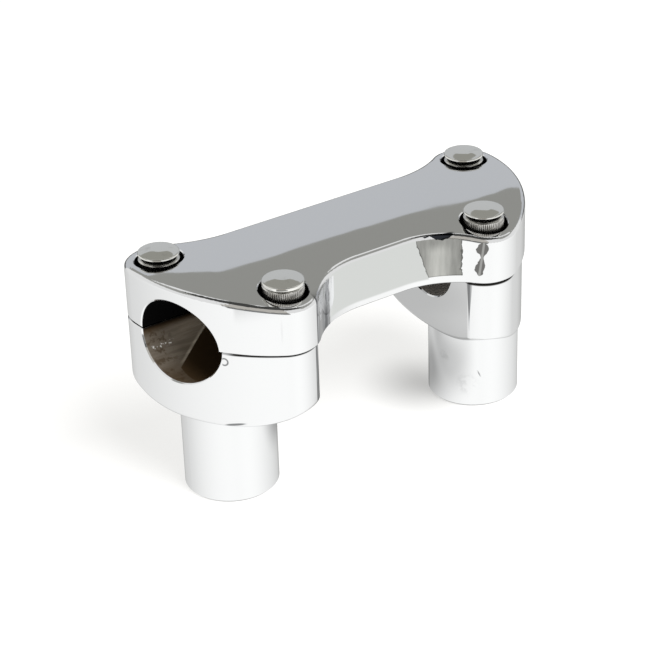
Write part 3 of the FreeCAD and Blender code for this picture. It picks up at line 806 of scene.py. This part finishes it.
@dataclass(frozen=True)
class CapChrome:
    """Bright plating of the pressed caps, over a black plug."""

    effects: Effects
    name: str = "cap chrome"
    colour: Colour = (0.87, 0.865, 0.83, 1.0)
    tarnish_colour: Colour = (0.7, 0.69, 0.66, 1.0)
    plug_colour: Colour = (0.01, 0.01, 0.01, 1.0)
    roughness: float = 0.05
    haze: float = 1.5
    tarnish_noise: Pair = (260.0, 3.0)
    tarnish_range: Pair = (0.6, 0.8)
    bump: Pair = (0.1, 0.4 * MM)

    def build(self) -> bpy.types.Material:
        """Make the material.

        Returns:
            A metal whose attribute under is 1 on the plug.
        """
        metal = Metal.start(self.name)
        g, skin = metal.graph, metal.skin
        polish = metal.effect(self.effects.polish, Wave=1.0, Haze=self.haze, Base_Roughness=self.roughness)
        tarnish = g.ramp(g.noise(metal.place, *self.tarnish_noise), *self.tarnish_range)
        under = g.node("Attribute", attribute_name="under").outputs["Fac"]
        plated = g.mix(tarnish, self.colour, self.tarnish_colour)
        g.feed(skin.inputs["Base Color"], g.mix(under, plated, self.plug_colour))
        g.feed(skin.inputs["Metallic"], g.less(1.0, under))
        g.feed(skin.inputs["Roughness"], polish.outputs["Roughness"])
        metal.bump(polish.outputs["Height"], *self.bump)
        return metal.material


@dataclass(frozen=True)
class ScrewSteel:
    """Plated steel with oil and dust in the hollows of the knurl."""

    effects: Effects
    name: str = "screw steel"
    colour: Colour = (0.7, 0.69, 0.66, 1.0)
    grime: Colour = (0.05, 0.045, 0.04, 1.0)
    roughness: float = 0.16
    haze: float = 3.0
    grime_noise: Pair = (500.0, 3.0)
    grime_range: Pair = (0.2, 0.6)
    grime_dullness: float = 0.3

    def build(self) -> bpy.types.Material:
        """Make the material.

        Returns:
            A metal whose attribute hollow is 1 at the bottom of a knurl groove.
        """
        metal = Metal.start(self.name)
        g, skin = metal.graph, metal.skin
        polish = metal.effect(self.effects.polish, Wave=1.0, Haze=self.haze, Base_Roughness=self.roughness)
        hollow = g.node("Attribute", attribute_name="hollow").outputs["Fac"]
        dirt = g.times(hollow, g.ramp(g.noise(metal.place, *self.grime_noise), *self.grime_range))
        g.feed(skin.inputs["Base Color"], g.mix(dirt, self.colour, self.grime))
        g.feed(skin.inputs["Metallic"], 1.0)
        g.feed(skin.inputs["Roughness"], g.add(polish.outputs["Roughness"],
                                               g.times(dirt, self.grime_dullness)))
        return metal.material


@dataclass(frozen=True)
class WasherSteel:
    """Zinc plated spring steel with a fine grain."""

    name: str = "washer steel"
    colour: Colour = (0.5, 0.5, 0.51, 1.0)
    stain_colour: Colour = (0.33, 0.32, 0.3, 1.0)
    roughness: float = 0.25
    grain_noise: Triple = (1800.0, 3.0, 0.7)
    grain_dullness: float = 0.15
    stain_noise: Pair = (220.0, 3.0)
    stain_range: Pair = (0.5, 0.75)
    bump: Pair = (0.15, 0.1 * MM)

    def build(self) -> bpy.types.Material:
        """Make the material.

        Returns:
            A metal with its own grain and stains.
        """
        metal = Metal.start(self.name)
        g, skin = metal.graph, metal.skin
        grain = g.noise(metal.place, *self.grain_noise)
        stain = g.ramp(g.noise(metal.place, *self.stain_noise), *self.stain_range)
        g.feed(skin.inputs["Base Color"], g.mix(stain, self.colour, self.stain_colour))
        g.feed(skin.inputs["Metallic"], 1.0)
        g.feed(skin.inputs["Roughness"], g.add(self.roughness, g.times(grain, self.grain_dullness)))
        metal.bump(grain, *self.bump)
        return metal.material


def revolved_mesh(name: str, rings: np.ndarray, masks: dict[str, np.ndarray],
                  crease: float) -> bpy.types.Mesh:
    """Close a stack of rings into a solid of revolution.

    Row i and column j of the grid join to row i + 1 and column j + 1; the first and the
    last ring are each drawn together in one point on the axis.

    Args:
        name: the mesh's name.
        rings: positions, as rows by columns by 3, from the first pole to the last.
        masks: numbers of each ring point, kept as attributes.
        crease: angle in radians above which an edge is sharp.

    Returns:
        The mesh, facing outwards for rings that run anticlockwise from bottom to top.
    """
    rows, columns = rings.shape[:2]
    grid = np.arange(rows * columns).reshape(rows, columns)
    beside = np.roll(grid, -1, axis=1)
    quads = np.stack([grid[:-1], beside[:-1], beside[1:], grid[1:]], axis=-1).reshape(-1, 4)
    first, last = rows * columns, rows * columns + 1
    low = np.stack([np.full(columns, first), beside[0], grid[0]], axis=-1)
    high = np.stack([np.full(columns, last), grid[-1], beside[-1]], axis=-1)
    points = np.concatenate([rings.reshape(-1, 3), rings[0].mean(0)[None], rings[-1].mean(0)[None]])
    mesh = bpy.data.meshes.new(name)
    mesh.from_pydata(points.tolist(), [], quads.tolist() + low.tolist() + high.tolist())
    mesh.shade_smooth()
    mesh.set_sharp_from_angle(angle=crease)
    for label, values in masks.items():
        layer = mesh.attributes.new(label, "FLOAT", "POINT")
        layer.data.foreach_set("value", np.append(values.ravel(), [0.0, 0.0]).astype(np.float32))
    mesh.validate()
    return mesh


def stand_in(mesh: bpy.types.Mesh, material: bpy.types.Material, replaced: str) -> bpy.types.Object:
    """Dress a new mesh and let it stand for its CAD node.

    Args:
        mesh: the new piece's mesh, which gives the piece its name.
        material: its finish.
        replaced: the CAD node.

    Returns:
        The finished object.
    """
    mesh.materials.append(material)
    piece = bpy.data.objects.new(mesh.name, mesh)
    bpy.context.scene.collection.objects.link(piece)
    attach(piece, BODY)
    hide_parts(replaced)
    log.info("%s: %d faces, stands for %s", piece.name, len(mesh.polygons), replaced)
    return piece


@dataclass
class KnurledScrew:
    """Socket head cap screw with a knurled head and a rolled thread.

    Lengths are in metres; the seat is the height of the underside of the head.
    """

    name: str
    replaced: str
    x: float
    y: float
    seat: float
    head_radius: float = 5.95 * MM
    head_height: float = 8.49 * MM
    head_edge: float = 0.35 * MM
    edge_break: float = 0.2 * MM
    bevel: float = 0.65 * MM
    collar: float = 0.1 * MM
    socket_flats: float = 6.35 * MM
    socket_depth: float = 3.9 * MM
    socket_mouth: Pair = mm(0.35, 0.3)
    shank_radius: float = 3.97 * MM
    length: float = 25.4 * MM
    point: float = 0.9 * MM
    plain: float = 4.0 * MM
    pitch: float = 1.411 * MM
    thread_depth: float = 0.75 * MM
    ribs: int = 60
    rib_depth: float = 0.16 * MM
    rib_run_out: float = 0.4 * MM
    pole: float = 0.02 * MM
    samples_per_rib: int = 4
    rows_per_turn: int = 6
    knurl_rows: int = 16
    crease_degrees: float = 50.0

    def profile(self) -> np.ndarray:
        """Rows of radius, height, knurl, thread and hexagon, from the point to the socket's floor.

        Returns:
            One row a ring; the last three numbers say how much of each form it takes.
        """
        top, edge, hexagon = self.head_height, self.edge_break, self.socket_flats / 2
        knurl_top = top - self.bevel
        turns = int((self.length - self.plain - self.point) / self.pitch * self.rows_per_turn)
        threaded = np.linspace(-self.length + self.point, -self.plain, turns)
        ramp_in = np.clip((threaded - threaded[0]) / self.pitch, 0, 1)
        fade = np.clip((threaded[-1] - threaded) / self.pitch, 0, 1)
        knurled = np.linspace(self.head_edge, knurl_top, self.knurl_rows)
        to_end = np.minimum(knurled - self.head_edge, knurl_top - self.collar - knurled)
        grip = np.clip(to_end / self.rib_run_out, 0, 1)
        thread = np.zeros((turns, 5))
        thread[:, 0], thread[:, 1], thread[:, 3] = self.shank_radius, threaded, ramp_in * fade
        knurl = np.zeros((self.knurl_rows, 5))
        knurl[:, 0], knurl[:, 1], knurl[:, 2] = self.head_radius, knurled, grip
        widening, lead = self.socket_mouth
        floor = top - self.socket_depth
        rows = [[self.shank_radius - self.point, -self.length, 0, 0, 0], *thread,
                [self.shank_radius, -edge, 0, 0, 0], [self.shank_radius, 0, 0, 0, 0],
                [self.head_radius - edge, 0, 0, 0, 0], [self.head_radius, edge, 0, 0, 0], *knurl,
                [self.head_radius - self.bevel, top, 0, 0, 0], [hexagon + widening, top, 0, 0, 1],
                [hexagon, top - lead, 0, 0, 1], [hexagon, floor, 0, 0, 1], [self.pole, floor, 0, 0, 1]]
        return np.array(rows, dtype=float)

    def rings(self) -> tuple[np.ndarray, np.ndarray]:
        """Positions of the ring points, and how deep each lies in a knurl groove.

        The radius at angle a and height z is the profile's radius; on the knurl less half
        the rib depth times (1 - cos(ribs * a)), on the thread less the thread depth times
        a triangle wave of (z / pitch - a / turn), and in the socket the radius of a
        hexagon, which is the apothem over cos(a folded into 30 degrees either way).

        Returns:
            The positions, as rows by columns by 3, and the depths, as rows by columns.
        """
        shape = self.profile()
        columns = self.ribs * self.samples_per_rib
        angle = np.linspace(0, 2 * np.pi, columns, endpoint=False)[None, :]
        radius, height, knurl, thread, hexagon = (shape[:, k][:, None] for k in range(5))
        wave = (1 - np.cos(self.ribs * angle)) / 2
        phase = (height / self.pitch - angle / (2 * np.pi)) % 1.0
        groove = 1 - np.abs(2 * phase - 1)
        folded = (angle + np.pi / 6) % (np.pi / 3) - np.pi / 6
        spread = 1 + hexagon * (1 / np.cos(folded) - 1)
        around = radius * spread - knurl * self.rib_depth * wave - thread * self.thread_depth * groove
        points = np.stack([self.x + around * np.cos(angle), self.y + around * np.sin(angle),
                           self.seat + height + 0 * angle], axis=-1)
        return points, knurl * wave

    def build(self, material: bpy.types.Material) -> bpy.types.Object:
        """Make the screw in place of its CAD node.

        Args:
            material: its finish.

        Returns:
            The finished object.
        """
        points, hollow = self.rings()
        mesh = revolved_mesh(self.name, points, {"hollow": hollow}, math.radians(self.crease_degrees))
        return stand_in(mesh, material, self.replaced)


@dataclass
class SnapCap:
    """Pressed cap over a screw head: a shallow dome, a rolled lip and a plug in the hexagon.

    Lengths are in metres; heights count from the crest. Low and high are the corners of
    the CAD cap's box.
    """

    name: str
    replaced: str
    low: Vector
    high: Vector
    lip: float = 0.98 * MM
    edge: float = 0.4 * MM
    plug_radius: float = 2.95 * MM
    plug_chamfer: float = 0.3 * MM
    lip_fold: float = 0.5 * MM
    lip_break: float = 0.1 * MM
    lip_dish: float = 0.02 * MM
    pole: float = 0.02 * MM
    flat_share: float = 0.5
    inner_slope: float = 0.15
    outer_slope: float = 0.07
    columns: int = 128
    plug_rows: int = 4
    inner_rows: int = 12
    outer_rows: int = 16
    roll_rows: int = 9
    crease_degrees: float = 35.0

    def profile(self) -> np.ndarray:
        """Radius and height of each ring, from the foot of the plug to the crest.

        The dome's slope grows with the square of the radius, up to the inner slope at the
        flat share of it, then falls evenly to the outer slope at the rolled edge; a quarter
        circle joins it to the side.

        Returns:
            One row a ring; the first plug_rows of them are the plug's.
        """
        outer = (self.high.x - self.low.x) / 2
        rim = outer - self.edge
        bend = self.flat_share * rim
        inner = np.linspace(self.pole, bend, self.inner_rows)
        reach = np.linspace(bend, rim, self.outer_rows)[1:]
        drop = self.inner_slope * inner**3 / (3 * bend**2)
        share = (reach - bend) / (rim - bend)
        fall = self.inner_slope + (self.outer_slope - self.inner_slope) * share / 2
        dome = np.concatenate([np.column_stack([inner, -drop]),
                               np.column_stack([reach, -drop[-1] - fall * (reach - bend)])])
        turn = np.linspace(0, np.pi / 2, self.roll_rows)[1:]
        roll = np.column_stack([rim + self.edge * np.sin(turn),
                                dome[-1, 1] - self.edge * (1 - np.cos(turn))])
        foot = self.low.z - self.high.z
        under = [[self.plug_radius - self.plug_chamfer, foot],
                 [self.plug_radius, foot + self.plug_chamfer],
                 [self.plug_radius, -self.lip], [outer - self.lip_fold, -self.lip],
                 [outer - self.lip_break, self.lip_dish - self.lip],
                 [outer, self.lip_break - self.lip]]
        return np.concatenate([np.array(under), roll[::-1], dome[::-1]])

    def build(self, material: bpy.types.Material) -> bpy.types.Object:
        """Make the cap in place of its CAD node.

        Each point is the middle of the CAD cap's box plus the profile's radius times the
        cosine and sine of its angle, at the crest plus the profile's height.

        Args:
            material: its finish.

        Returns:
            The finished object.
        """
        shape = self.profile()
        middle = (self.low + self.high) / 2
        angle = np.linspace(0, 2 * np.pi, self.columns, endpoint=False)[None, :]
        radius, height = shape[:, :1], shape[:, 1:]
        rings = np.stack([middle.x + radius * np.cos(angle), middle.y + radius * np.sin(angle),
                          self.high.z + height + 0 * angle], axis=-1)
        under = np.repeat(np.arange(len(shape))[:, None] < self.plug_rows, self.columns, axis=1)
        mesh = revolved_mesh(self.name, rings, {"under": under}, math.radians(self.crease_degrees))
        return stand_in(mesh, material, self.replaced)


def dress(node: str, material: bpy.types.Material) -> None:
    """Give a CAD node its finish in place of the record's plain colour.

    Args:
        node: the node's name.
        material: its finish.
    """
    piece = frame["nodes"][node]
    piece.data.materials.clear()
    piece.data.materials.append(material)
    log.info("%s: %s", node, material.name)


@dataclass
class Fasteners:
    """The four clamp screws with their washers and caps.

    A cap whose crest is lifted_from or more above its screw head stands proud of it and
    keeps its own lip; the lip of a cap that is pushed home ends on the head.
    """

    effects: Effects
    lifted_from: float = 1.7 * MM

    def build(self) -> None:
        """Replace the screws and caps with finer ones, and dress the washers."""
        steel = ScrewSteel(self.effects).build()
        washer = WasherSteel().build()
        chrome = CapChrome(self.effects).build()
        for side in ("left", "right"):
            for end in ("front", "rear"):
                head = self._screw(f"{side}_{end}", steel)
                dress(f"lock_washer_{side}_{end}", washer)
                self._cap(f"{side}_{end}", head, chrome)

    def _screw(self, corner: str, steel: bpy.types.Material) -> float:
        """Make one screw, seated on its washer.

        Args:
            corner: the side and end that its name ends with.
            steel: its finish.

        Returns:
            Height of the top of its head.
        """
        node = f"clamp_screw_{corner}"
        low, high = (Vector(point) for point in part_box(node))
        middle = (low + high) / 2
        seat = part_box(f"lock_washer_{corner}")[1][2]
        screw = KnurledScrew(f"knurled_screw_{corner}", node, middle.x, middle.y, seat)
        screw.build(steel)
        return screw.seat + screw.head_height

    def _cap(self, corner: str, head: float, chrome: bpy.types.Material) -> None:
        """Make one cap over its screw head.

        Args:
            corner: the side and end that its name ends with.
            head: height of the top of the screw's head.
            chrome: its finish.
        """
        node = f"screw_cap_{corner}"
        low, high = (Vector(point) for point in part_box(node))
        over = high.z - head
        lip = over if over < self.lifted_from else SnapCap.lip
        SnapCap(f"snap_cap_{corner}", node, low, high, lip).build(chrome)


@dataclass
class Castings:
    """The top clamp and the two risers, all one plated finish with painted reflections, light and shade."""

    effects: Effects
    nodes: tuple[str, ...] = ("top_clamp", "left_riser", "right_riser")

    def build(self) -> None:
        """Dress the three castings."""
        chrome = PolishedChrome(self.effects).build()
        for node in self.nodes:
            dress(node, chrome)


@dataclass(frozen=True)
class PhotoCamera:
    """The photograph's viewpoint, fitted to the straight edges and ellipses of the part."""

    place: Triple = (-0.31854, -0.47081, 0.35179)
    azimuth: float = -34.0812
    elevation: float = 29.3612
    roll: float = -1.5598
    lens: float = 121.75
    sensor: float = 36.0
    shift: Pair = (-0.04465, 0.01794)
    clip: Pair = (0.01, 20.0)

    def build(self) -> bpy.types.Object:
        """Make the camera and set it as the scene's.

        Returns:
            The camera.
        """
        a, e, r = (math.radians(v) for v in (self.azimuth, self.elevation, self.roll))
        back = Vector((math.sin(a) * math.cos(e), -math.cos(a) * math.cos(e), math.sin(e)))
        level = Vector((math.cos(a), math.sin(a), 0))
        rise = back.cross(level)
        right = level * math.cos(r) + rise * math.sin(r)
        up = rise * math.cos(r) - level * math.sin(r)
        data = bpy.data.cameras.new("photo camera")
        data.lens = self.lens
        data.sensor_width = self.sensor
        data.shift_x, data.shift_y = self.shift
        data.clip_start, data.clip_end = self.clip
        camera = bpy.data.objects.new("photo camera", data)
        turn = Matrix((right, up, back)).transposed().to_4x4()
        camera.matrix_world = Matrix.Translation(self.place) @ turn
        bpy.context.scene.collection.objects.link(camera)
        bpy.context.scene.camera = camera
        return camera


@dataclass(frozen=True)
class Room:
    """World light: white to the camera, and to the rest a room with a wall and a ceiling.

    Heights are the sine of the elevation that a ray looks at, and sides are the cosine of
    its level angle to a heading. A pair is where a change starts and where it is full.
    """

    wall: Colour = (0.53, 0.545, 0.565, 1.0)
    ceiling: Colour = (0.305, 0.305, 0.285, 1.0)
    side_ceiling: Colour = (0.33, 0.33, 0.31, 1.0)
    lit: Colour = (0.82, 0.82, 0.81, 1.0)
    shade: Colour = (0.12, 0.12, 0.115, 1.0)
    zenith: Colour = (0.06, 0.06, 0.057, 1.0)
    bench: Colour = (0.5, 0.48, 0.44, 1.0)
    backdrop: Colour = (1.0, 1.0, 1.0, 1.0)
    cornice: float = 0.528
    cornice_edge: Pair = (-0.003, 0.003)
    humps: tuple[Triple, ...] = ((139.2, 2.4, 0.016), (147.0, 3.5, 0.008))
    dips: tuple[Pair, ...] = ((150.3, 155.0), (138.4, 136.2))
    dip_depth: float = 0.03
    lamp_height: Pair = (0.715, 0.735)
    shade_height: Pair = (0.14, 0.08)
    side_ceiling_height: Pair = (0.6, 0.66)
    zenith_height: Pair = (0.87, 0.89)
    bench_shade_height: Pair = (0.1, 0.06)
    far_side: Pair = (-0.62, -0.72)
    near_side: Pair = (0.3, 0.4)
    bench_side: Pair = (0.895, 0.915)

    def build(self) -> None:
        """Make the world."""
        world = bpy.data.worlds.new("studio room")
        bpy.context.scene.world = world
        world.use_nodes = True
        g = Graph(world.node_tree)
        g.tree.nodes.clear()
        x, y, z = g.axes(g.node("TexCoord").outputs["Generated"])
        ahead = g.towards(x, y, TO_CAMERA)
        sides = g.mix(g.ramp(z, *self.side_ceiling_height), self.lit, self.side_ceiling)
        room = g.mix(g.ramp(ahead, *self.far_side), sides, self._far_wall(g, x, y, z))
        room = g.mix(g.ramp(ahead, *self.near_side), room, self.lit)
        bench = g.ramp(g.towards(x, y, TO_BENCH), *self.bench_side)
        room = g.mix(bench, room, self.bench)
        room = g.mix(g.times(bench, g.ramp(z, *self.bench_shade_height)), room, self.shade)
        room = g.mix(g.ramp(z, *self.zenith_height), room, self.zenith)
        seen = g.node("LightPath").outputs["Is Camera Ray"]
        light = g.node("Background", {"Color": g.mix(seen, room, self.backdrop), "Strength": 1.0})
        g.feed(g.node("OutputWorld").inputs["Surface"], light.outputs[0])

    def _far_wall(self, g: Graph, x: Socket, y: Socket, z: Socket) -> Socket:
        """The side that the top face mirrors: shade, wall, an uneven cornice, ceiling, lamps.

        Humps are a bearing and a width in degrees and a rise; dips are bearings.

        Args:
            g: the graph of the world.
            x: the ray's direction to the right.
            y: its direction to the front.
            z: its direction upwards.

        Returns:
            The colour.
        """
        bearing = g.math("DEGREES", g.math("ARCTAN2", x, g.times(y, -1.0)))
        rise = g.add(*(g.times(g.bell(bearing, middle, width), hump) for middle, width, hump in self.humps))
        dip = g.add(*(g.ramp(bearing, *span) for span in self.dips))
        rise = g.less(rise, g.times(dip, self.dip_depth))
        colour = g.mix(g.ramp(g.less(z, self.cornice, rise), *self.cornice_edge), self.wall, self.ceiling)
        colour = g.mix(g.ramp(z, *self.lamp_height), colour, self.lit)
        return g.mix(g.ramp(z, *self.shade_height), colour, self.shade)


class Shadow(NamedTuple):
    """A soft elliptical shadow on the table: its centre, its half lengths and its depth."""

    x: float
    y: float
    half_x: float
    half_y: float
    depth: float

    def reach(self, g: Graph, x: Socket, y: Socket) -> Socket:
        """Distance from the centre as a share of the half lengths."""
        return g.length(g.math("DIVIDE", g.less(x, self.x), self.half_x),
                        g.math("DIVIDE", g.less(y, self.y), self.half_y))


@dataclass(frozen=True)
class MirroredTable:
    """The table as the chrome mirrors it.

    It looks brighter the nearer a ray runs to the camera's side. The grey shapes that the
    bridge and the far lobe mirror are cut out by where on the part a ray starts. A pair is
    where a change starts and where it is full, or for a band its centre and the distance
    where it has faded out.
    """

    level: float = 0.9
    rise: float = 0.245
    bend: float = 0.035
    far_side: Pair = (-0.85, -1.0)
    far_loss: float = 0.15
    right_side: Pair = (0.2, 1.0)
    right_gain: float = 0.1
    flat_height: Pair = (0.3, 0.12)
    flat_side: Pair = (-0.6, -0.75)
    flat_loss: float = 0.8
    shadows: tuple[Shadow, ...] = (Shadow(*mm(6, 0, 22, 42), 0.36), Shadow(*mm(-8, 58, 30, 34), 0.25),
                                   Shadow(*mm(29, 20, 13, 22), 0.28))
    shadow_edge: Pair = (1.3, 0.2)
    end_reach: Pair = (0.16, 0.2)
    end_side: Pair = (0.9, 0.92)
    end_loss: float = 0.78
    tint: Triple = (0.99, 0.993, 0.98)
    wander_noise: Pair = (700.0, 3.0)
    wander: float = 1.6 * MM
    wander_share: float = 0.7
    bridge_rear: Pair = mm(-14.3, -14.5)
    slant_x: float = 11.8 * MM
    slant_top: float = 66 * MM
    slant: float = 0.3
    pale: Colour = (0.77, 0.785, 0.755, 1.0)
    pale_left: Pair = mm(-22, -18)
    pale_edge: Pair = mm(0.1, 0)
    pale_foot: Pair = mm(52.6, 53.4)
    pale_rear: Pair = mm(-18.5, -18.0)
    dark_right: float = 24.3 * MM
    dark_foot: float = 53.5 * MM
    dark_edge: Pair = mm(0, 0.06)
    dark_rear: Pair = mm(-22, -21.8)
    dark_tone: float = 0.36
    light_middle: float = 18.3 * MM
    light_side: Pair = mm(4.5, 1.0)
    light_top: Pair = mm(65, 61)
    light_gain: float = 0.24
    fold_stretch: Triple = (900.0, 100.0, 130.0)
    fold_noise: Pair = (1.0, 3.0)
    fold_contrast: float = 0.3
    outline: Pair = mm(0.4, 0.15)
    outline_loss: float = 0.2
    dark_blue: float = 0.93
    lobe_bands: tuple[tuple[Pair, float], ...] = ((mm(62.4, 2.9), 1.1 * MM), (mm(56.2, 3.6), 0.75 * MM))
    lobe_spare: float = 0.15 * MM
    lobe_foot: Pair = mm(53.2, 54.2)
    lobe_top: Pair = mm(65.4, 64.6)
    lobe_neck: float = 0.5 * MM
    lobe_centre: Pair = mm(27.75, 53)
    lobe_slope: float = 0.1
    lobe_edge: Pair = mm(0, 0.12)
    lobe_rear: Pair = mm(-22.5, -23)
    lobe_streak: Pair = mm(0.35, 0.15)
    lobe_colour: Colour = (0.2, 0.195, 0.185, 1.0)
    streak_colour: Colour = (0.42, 0.42, 0.4, 1.0)

    def colour(self, g: Graph, path: bpy.types.Node) -> Socket:
        """Colour of the table to a mirrored ray.

        Args:
            g: the graph of the table's material.
            path: its Light Path node.

        Returns:
            The colour.
        """
        geometry = g.node("NewGeometry").outputs
        level = self._level(g, geometry)
        red, green, blue = (g.times(level, share) for share in self.tint)
        colour = g.node("CombineColor", {0: red, 1: green, 2: blue}).outputs[0]
        travel = g.node("VectorMath", {0: geometry["Incoming"], "Scale": path.outputs["Ray Length"]},
                        operation="SCALE").outputs[0]
        at = g.point(g.node("VectorMath", {0: travel, 1: geometry["Position"]}).outputs[0])
        wander = g.wander(g.noise(at.vector, *self.wander_noise), self.wander)
        part_wander = g.times(wander, self.wander_share)
        slant = g.add(g.times(g.less(self.slant_top, at.z), self.slant), self.slant_x)
        from_left = g.less(g.add(at.x, part_wander), slant)
        from_right = g.less(g.add(self.dark_right, wander), at.x)
        behind = g.ramp(at.y, *self.bridge_rear)
        pale = g.times(g.ramp(at.x, *self.pale_left), g.ramp(from_left, *self.pale_edge), behind,
                       g.ramp(at.z, *self.pale_foot), g.ramp(at.y, *self.pale_rear))
        colour = g.mix(pale, colour, self.pale)
        inside = g.least(from_left, from_right, g.less(at.z, self.dark_foot))
        dark = g.times(g.ramp(inside, *self.dark_edge), behind, g.ramp(at.y, *self.dark_rear))
        colour = g.mix(dark, colour, self._dark_colour(g, at, inside))
        return self._painted_lobe_reflection(g, at, part_wander, colour)

    def _level(self, g: Graph, geometry: bpy.types.bpy_prop_collection) -> Value:
        """Brightness by the ray's direction, with the shadows on the table and its dark end.

        Args:
            g: the graph of the table's material.
            geometry: outputs of its Geometry node; Incoming points back along the ray.

        Returns:
            The brightness.
        """
        x, y, z = g.axes(geometry["Incoming"])
        back = g.times(g.towards(x, y, TO_CAMERA), -1.0)
        aside = g.times(g.towards(x, y, TO_RIGHT), -1.0)
        level = g.add(self.level, g.times(back, g.less(self.rise, g.times(back, self.bend))))
        level = g.less(level, g.times(g.ramp(back, *self.far_side), self.far_loss))
        level = g.add(level, g.times(g.ramp(aside, *self.right_side), self.right_gain))
        flat = g.times(g.ramp(z, *self.flat_height), g.ramp(back, *self.flat_side), self.flat_loss)
        level = g.times(level, g.less(1.0, flat))
        x, y, _ = g.axes(geometry["Position"])
        for shadow in self.shadows:
            level = g.less(level, g.times(g.ramp(shadow.reach(g, x, y), *self.shadow_edge), shadow.depth))
        end = g.times(g.ramp(g.length(x, y), *self.end_reach),
                      g.ramp(g.towards(x, y, TO_BENCH), *self.end_side), self.end_loss)
        return g.times(level, g.less(1.0, end))

    def _dark_colour(self, g: Graph, at: Point, inside: Value) -> Socket:
        """Grey of the dark shape: lighter in its middle, folded, with a darker outline.

        Args:
            g: the graph of the table's material.
            at: where on the part the ray starts.
            inside: distance from the shape's nearest edge.

        Returns:
            The colour.
        """
        light = g.times(g.ramp(g.away(at.x, self.light_middle), *self.light_side),
                        g.ramp(at.z, *self.light_top), self.light_gain)
        folds = g.noise(g.stretched(at.vector, self.fold_stretch), *self.fold_noise)
        folds = g.wander(folds, self.fold_contrast)
        outline = g.times(g.ramp(inside, *self.outline), self.outline_loss)
        tone = g.less(g.add(self.dark_tone, light, folds), outline)
        return g.node("CombineColor", {0: tone, 1: tone, 2: g.times(tone, self.dark_blue)}).outputs[0]

    def _painted_lobe_reflection(self, g: Graph, at: Point, wander: Value, colour: Socket) -> Socket:
        """The dark shape painted into the far lobe's reflection: two bulbs and a neck about a leaning
        centre line.

        Args:
            g: the graph of the table's material.
            at: where on the part the ray starts.
            wander: unevenness of its sides.
            colour: what is round it.

        Returns:
            The colour with the painted reflection.
        """
        bulbs = g.add(*(g.times(g.bell(at.z, *band), half) for band, half in self.lobe_bands))
        neck = g.times(g.ramp(at.z, *self.lobe_foot), g.ramp(at.z, *self.lobe_top), self.lobe_neck)
        half = g.add(g.less(bulbs, self.lobe_spare), neck, wander)
        centre_x, centre_z = self.lobe_centre
        centre = g.add(g.times(g.less(at.z, centre_z), self.lobe_slope), centre_x)
        off = g.away(at.x, centre)
        mark = g.times(g.ramp(g.less(half, off), *self.lobe_edge), g.ramp(at.y, *self.lobe_rear))
        streaked = g.mix(g.ramp(off, *self.lobe_streak), self.lobe_colour, self.streak_colour)
        return g.mix(mark, colour, streaked)


@dataclass(frozen=True)
class Table:
    """White floor: paper with soft shadows to the camera, a glowing sheet to the chrome."""

    half_size: float = 1.6
    paper: Colour = (0.24, 0.24, 0.24, 1.0)
    plain: Colour = (0.8, 0.8, 0.8, 1.0)
    glow: Colour = (1.0, 0.996, 0.978, 1.0)
    glow_level: float = 0.75
    contact: Shadow = Shadow(*mm(30, 9, 22, 24), 0.34)

    def build(self) -> bpy.types.Object:
        """Make the floor.

        Returns:
            Its object.
        """
        h = self.half_size
        mesh = bpy.data.meshes.new("table")
        mesh.from_pydata([(-h, -h, 0), (h, -h, 0), (h, h, 0), (-h, h, 0)], [], [(0, 1, 2, 3)])
        material = bpy.data.materials.new("white table")
        material.use_nodes = True
        g = Graph(material.node_tree)
        g.tree.nodes.clear()
        path = g.node("LightPath")
        paper = g.node("BsdfDiffuse", {"Color": self.paper}).outputs[0]
        x, y, _ = g.axes(g.node("NewGeometry").outputs["Position"])
        shadow = g.times(g.ramp(self.contact.reach(g, x, y), 1.0, 0.0), self.contact.depth)
        strength = g.less(self.glow_level, shadow)
        glow = g.node("Emission", {"Color": self.glow, "Strength": strength}).outputs[0]
        seen = g.node("AddShader", {0: paper, 1: glow}).outputs[0]
        mirrored = MirroredTable().colour(g, path)
        sheet = g.node("Emission", {"Color": mirrored, "Strength": 1.0}).outputs[0]
        plain = g.node("BsdfDiffuse", {"Color": self.plain}).outputs[0]
        other = g.node("MixShader", {0: path.outputs["Is Glossy Ray"], 1: plain, 2: sheet}).outputs[0]
        final = g.node("MixShader", {0: path.outputs["Is Camera Ray"], 1: other, 2: seen}).outputs[0]
        g.feed(g.node("OutputMaterial").inputs["Surface"], final)
        mesh.materials.append(material)
        table = bpy.data.objects.new("table", mesh)
        bpy.context.scene.collection.objects.link(table)
        return table


@dataclass(frozen=True)
class KeyLamp:
    """A soft round lamp high on the camera's right, which the chrome doesn't mirror."""

    place: Triple = (0.25, -0.85, 1.1)
    size: float = 1.1
    power: float = 42.0

    def build(self) -> bpy.types.Object:
        """Make the lamp, turned to the part.

        Returns:
            Its object.
        """
        data = bpy.data.lights.new("key lamp", "AREA")
        data.shape = "DISK"
        data.size = self.size
        data.energy = self.power
        lamp = bpy.data.objects.new("key lamp", data)
        lamp.location = self.place
        lamp.rotation_euler = (-Vector(self.place)).to_track_quat("-Z", "Y").to_euler()
        lamp.visible_glossy = False
        bpy.context.scene.collection.objects.link(lamp)
        return lamp


class Studio:
    """White table and grey room, known from what the chrome of the photo mirrors."""

    def build(self) -> None:
        """Make the room, the table and the lamp, with plain colours."""
        Room().build()
        Table().build()
        KeyLamp().build()
        bpy.context.scene.view_settings.view_transform = "Standard"


def main() -> None:
    """Build the part's looks and its studio, piece by piece."""
    logging.basicConfig(level=logging.INFO, format="%(message)s")
    bar = next(m for m in frame["record"]["mounts"] if m["name"] == "bar_clamp")
    effects = Effects(ScrewAxes.from_frame(), bar["pos_m"][2])
    Castings(effects).build()
    Fasteners(effects).build()
    Studio().build()
    PhotoCamera().build()


if __name__ == "__main__":
    main()
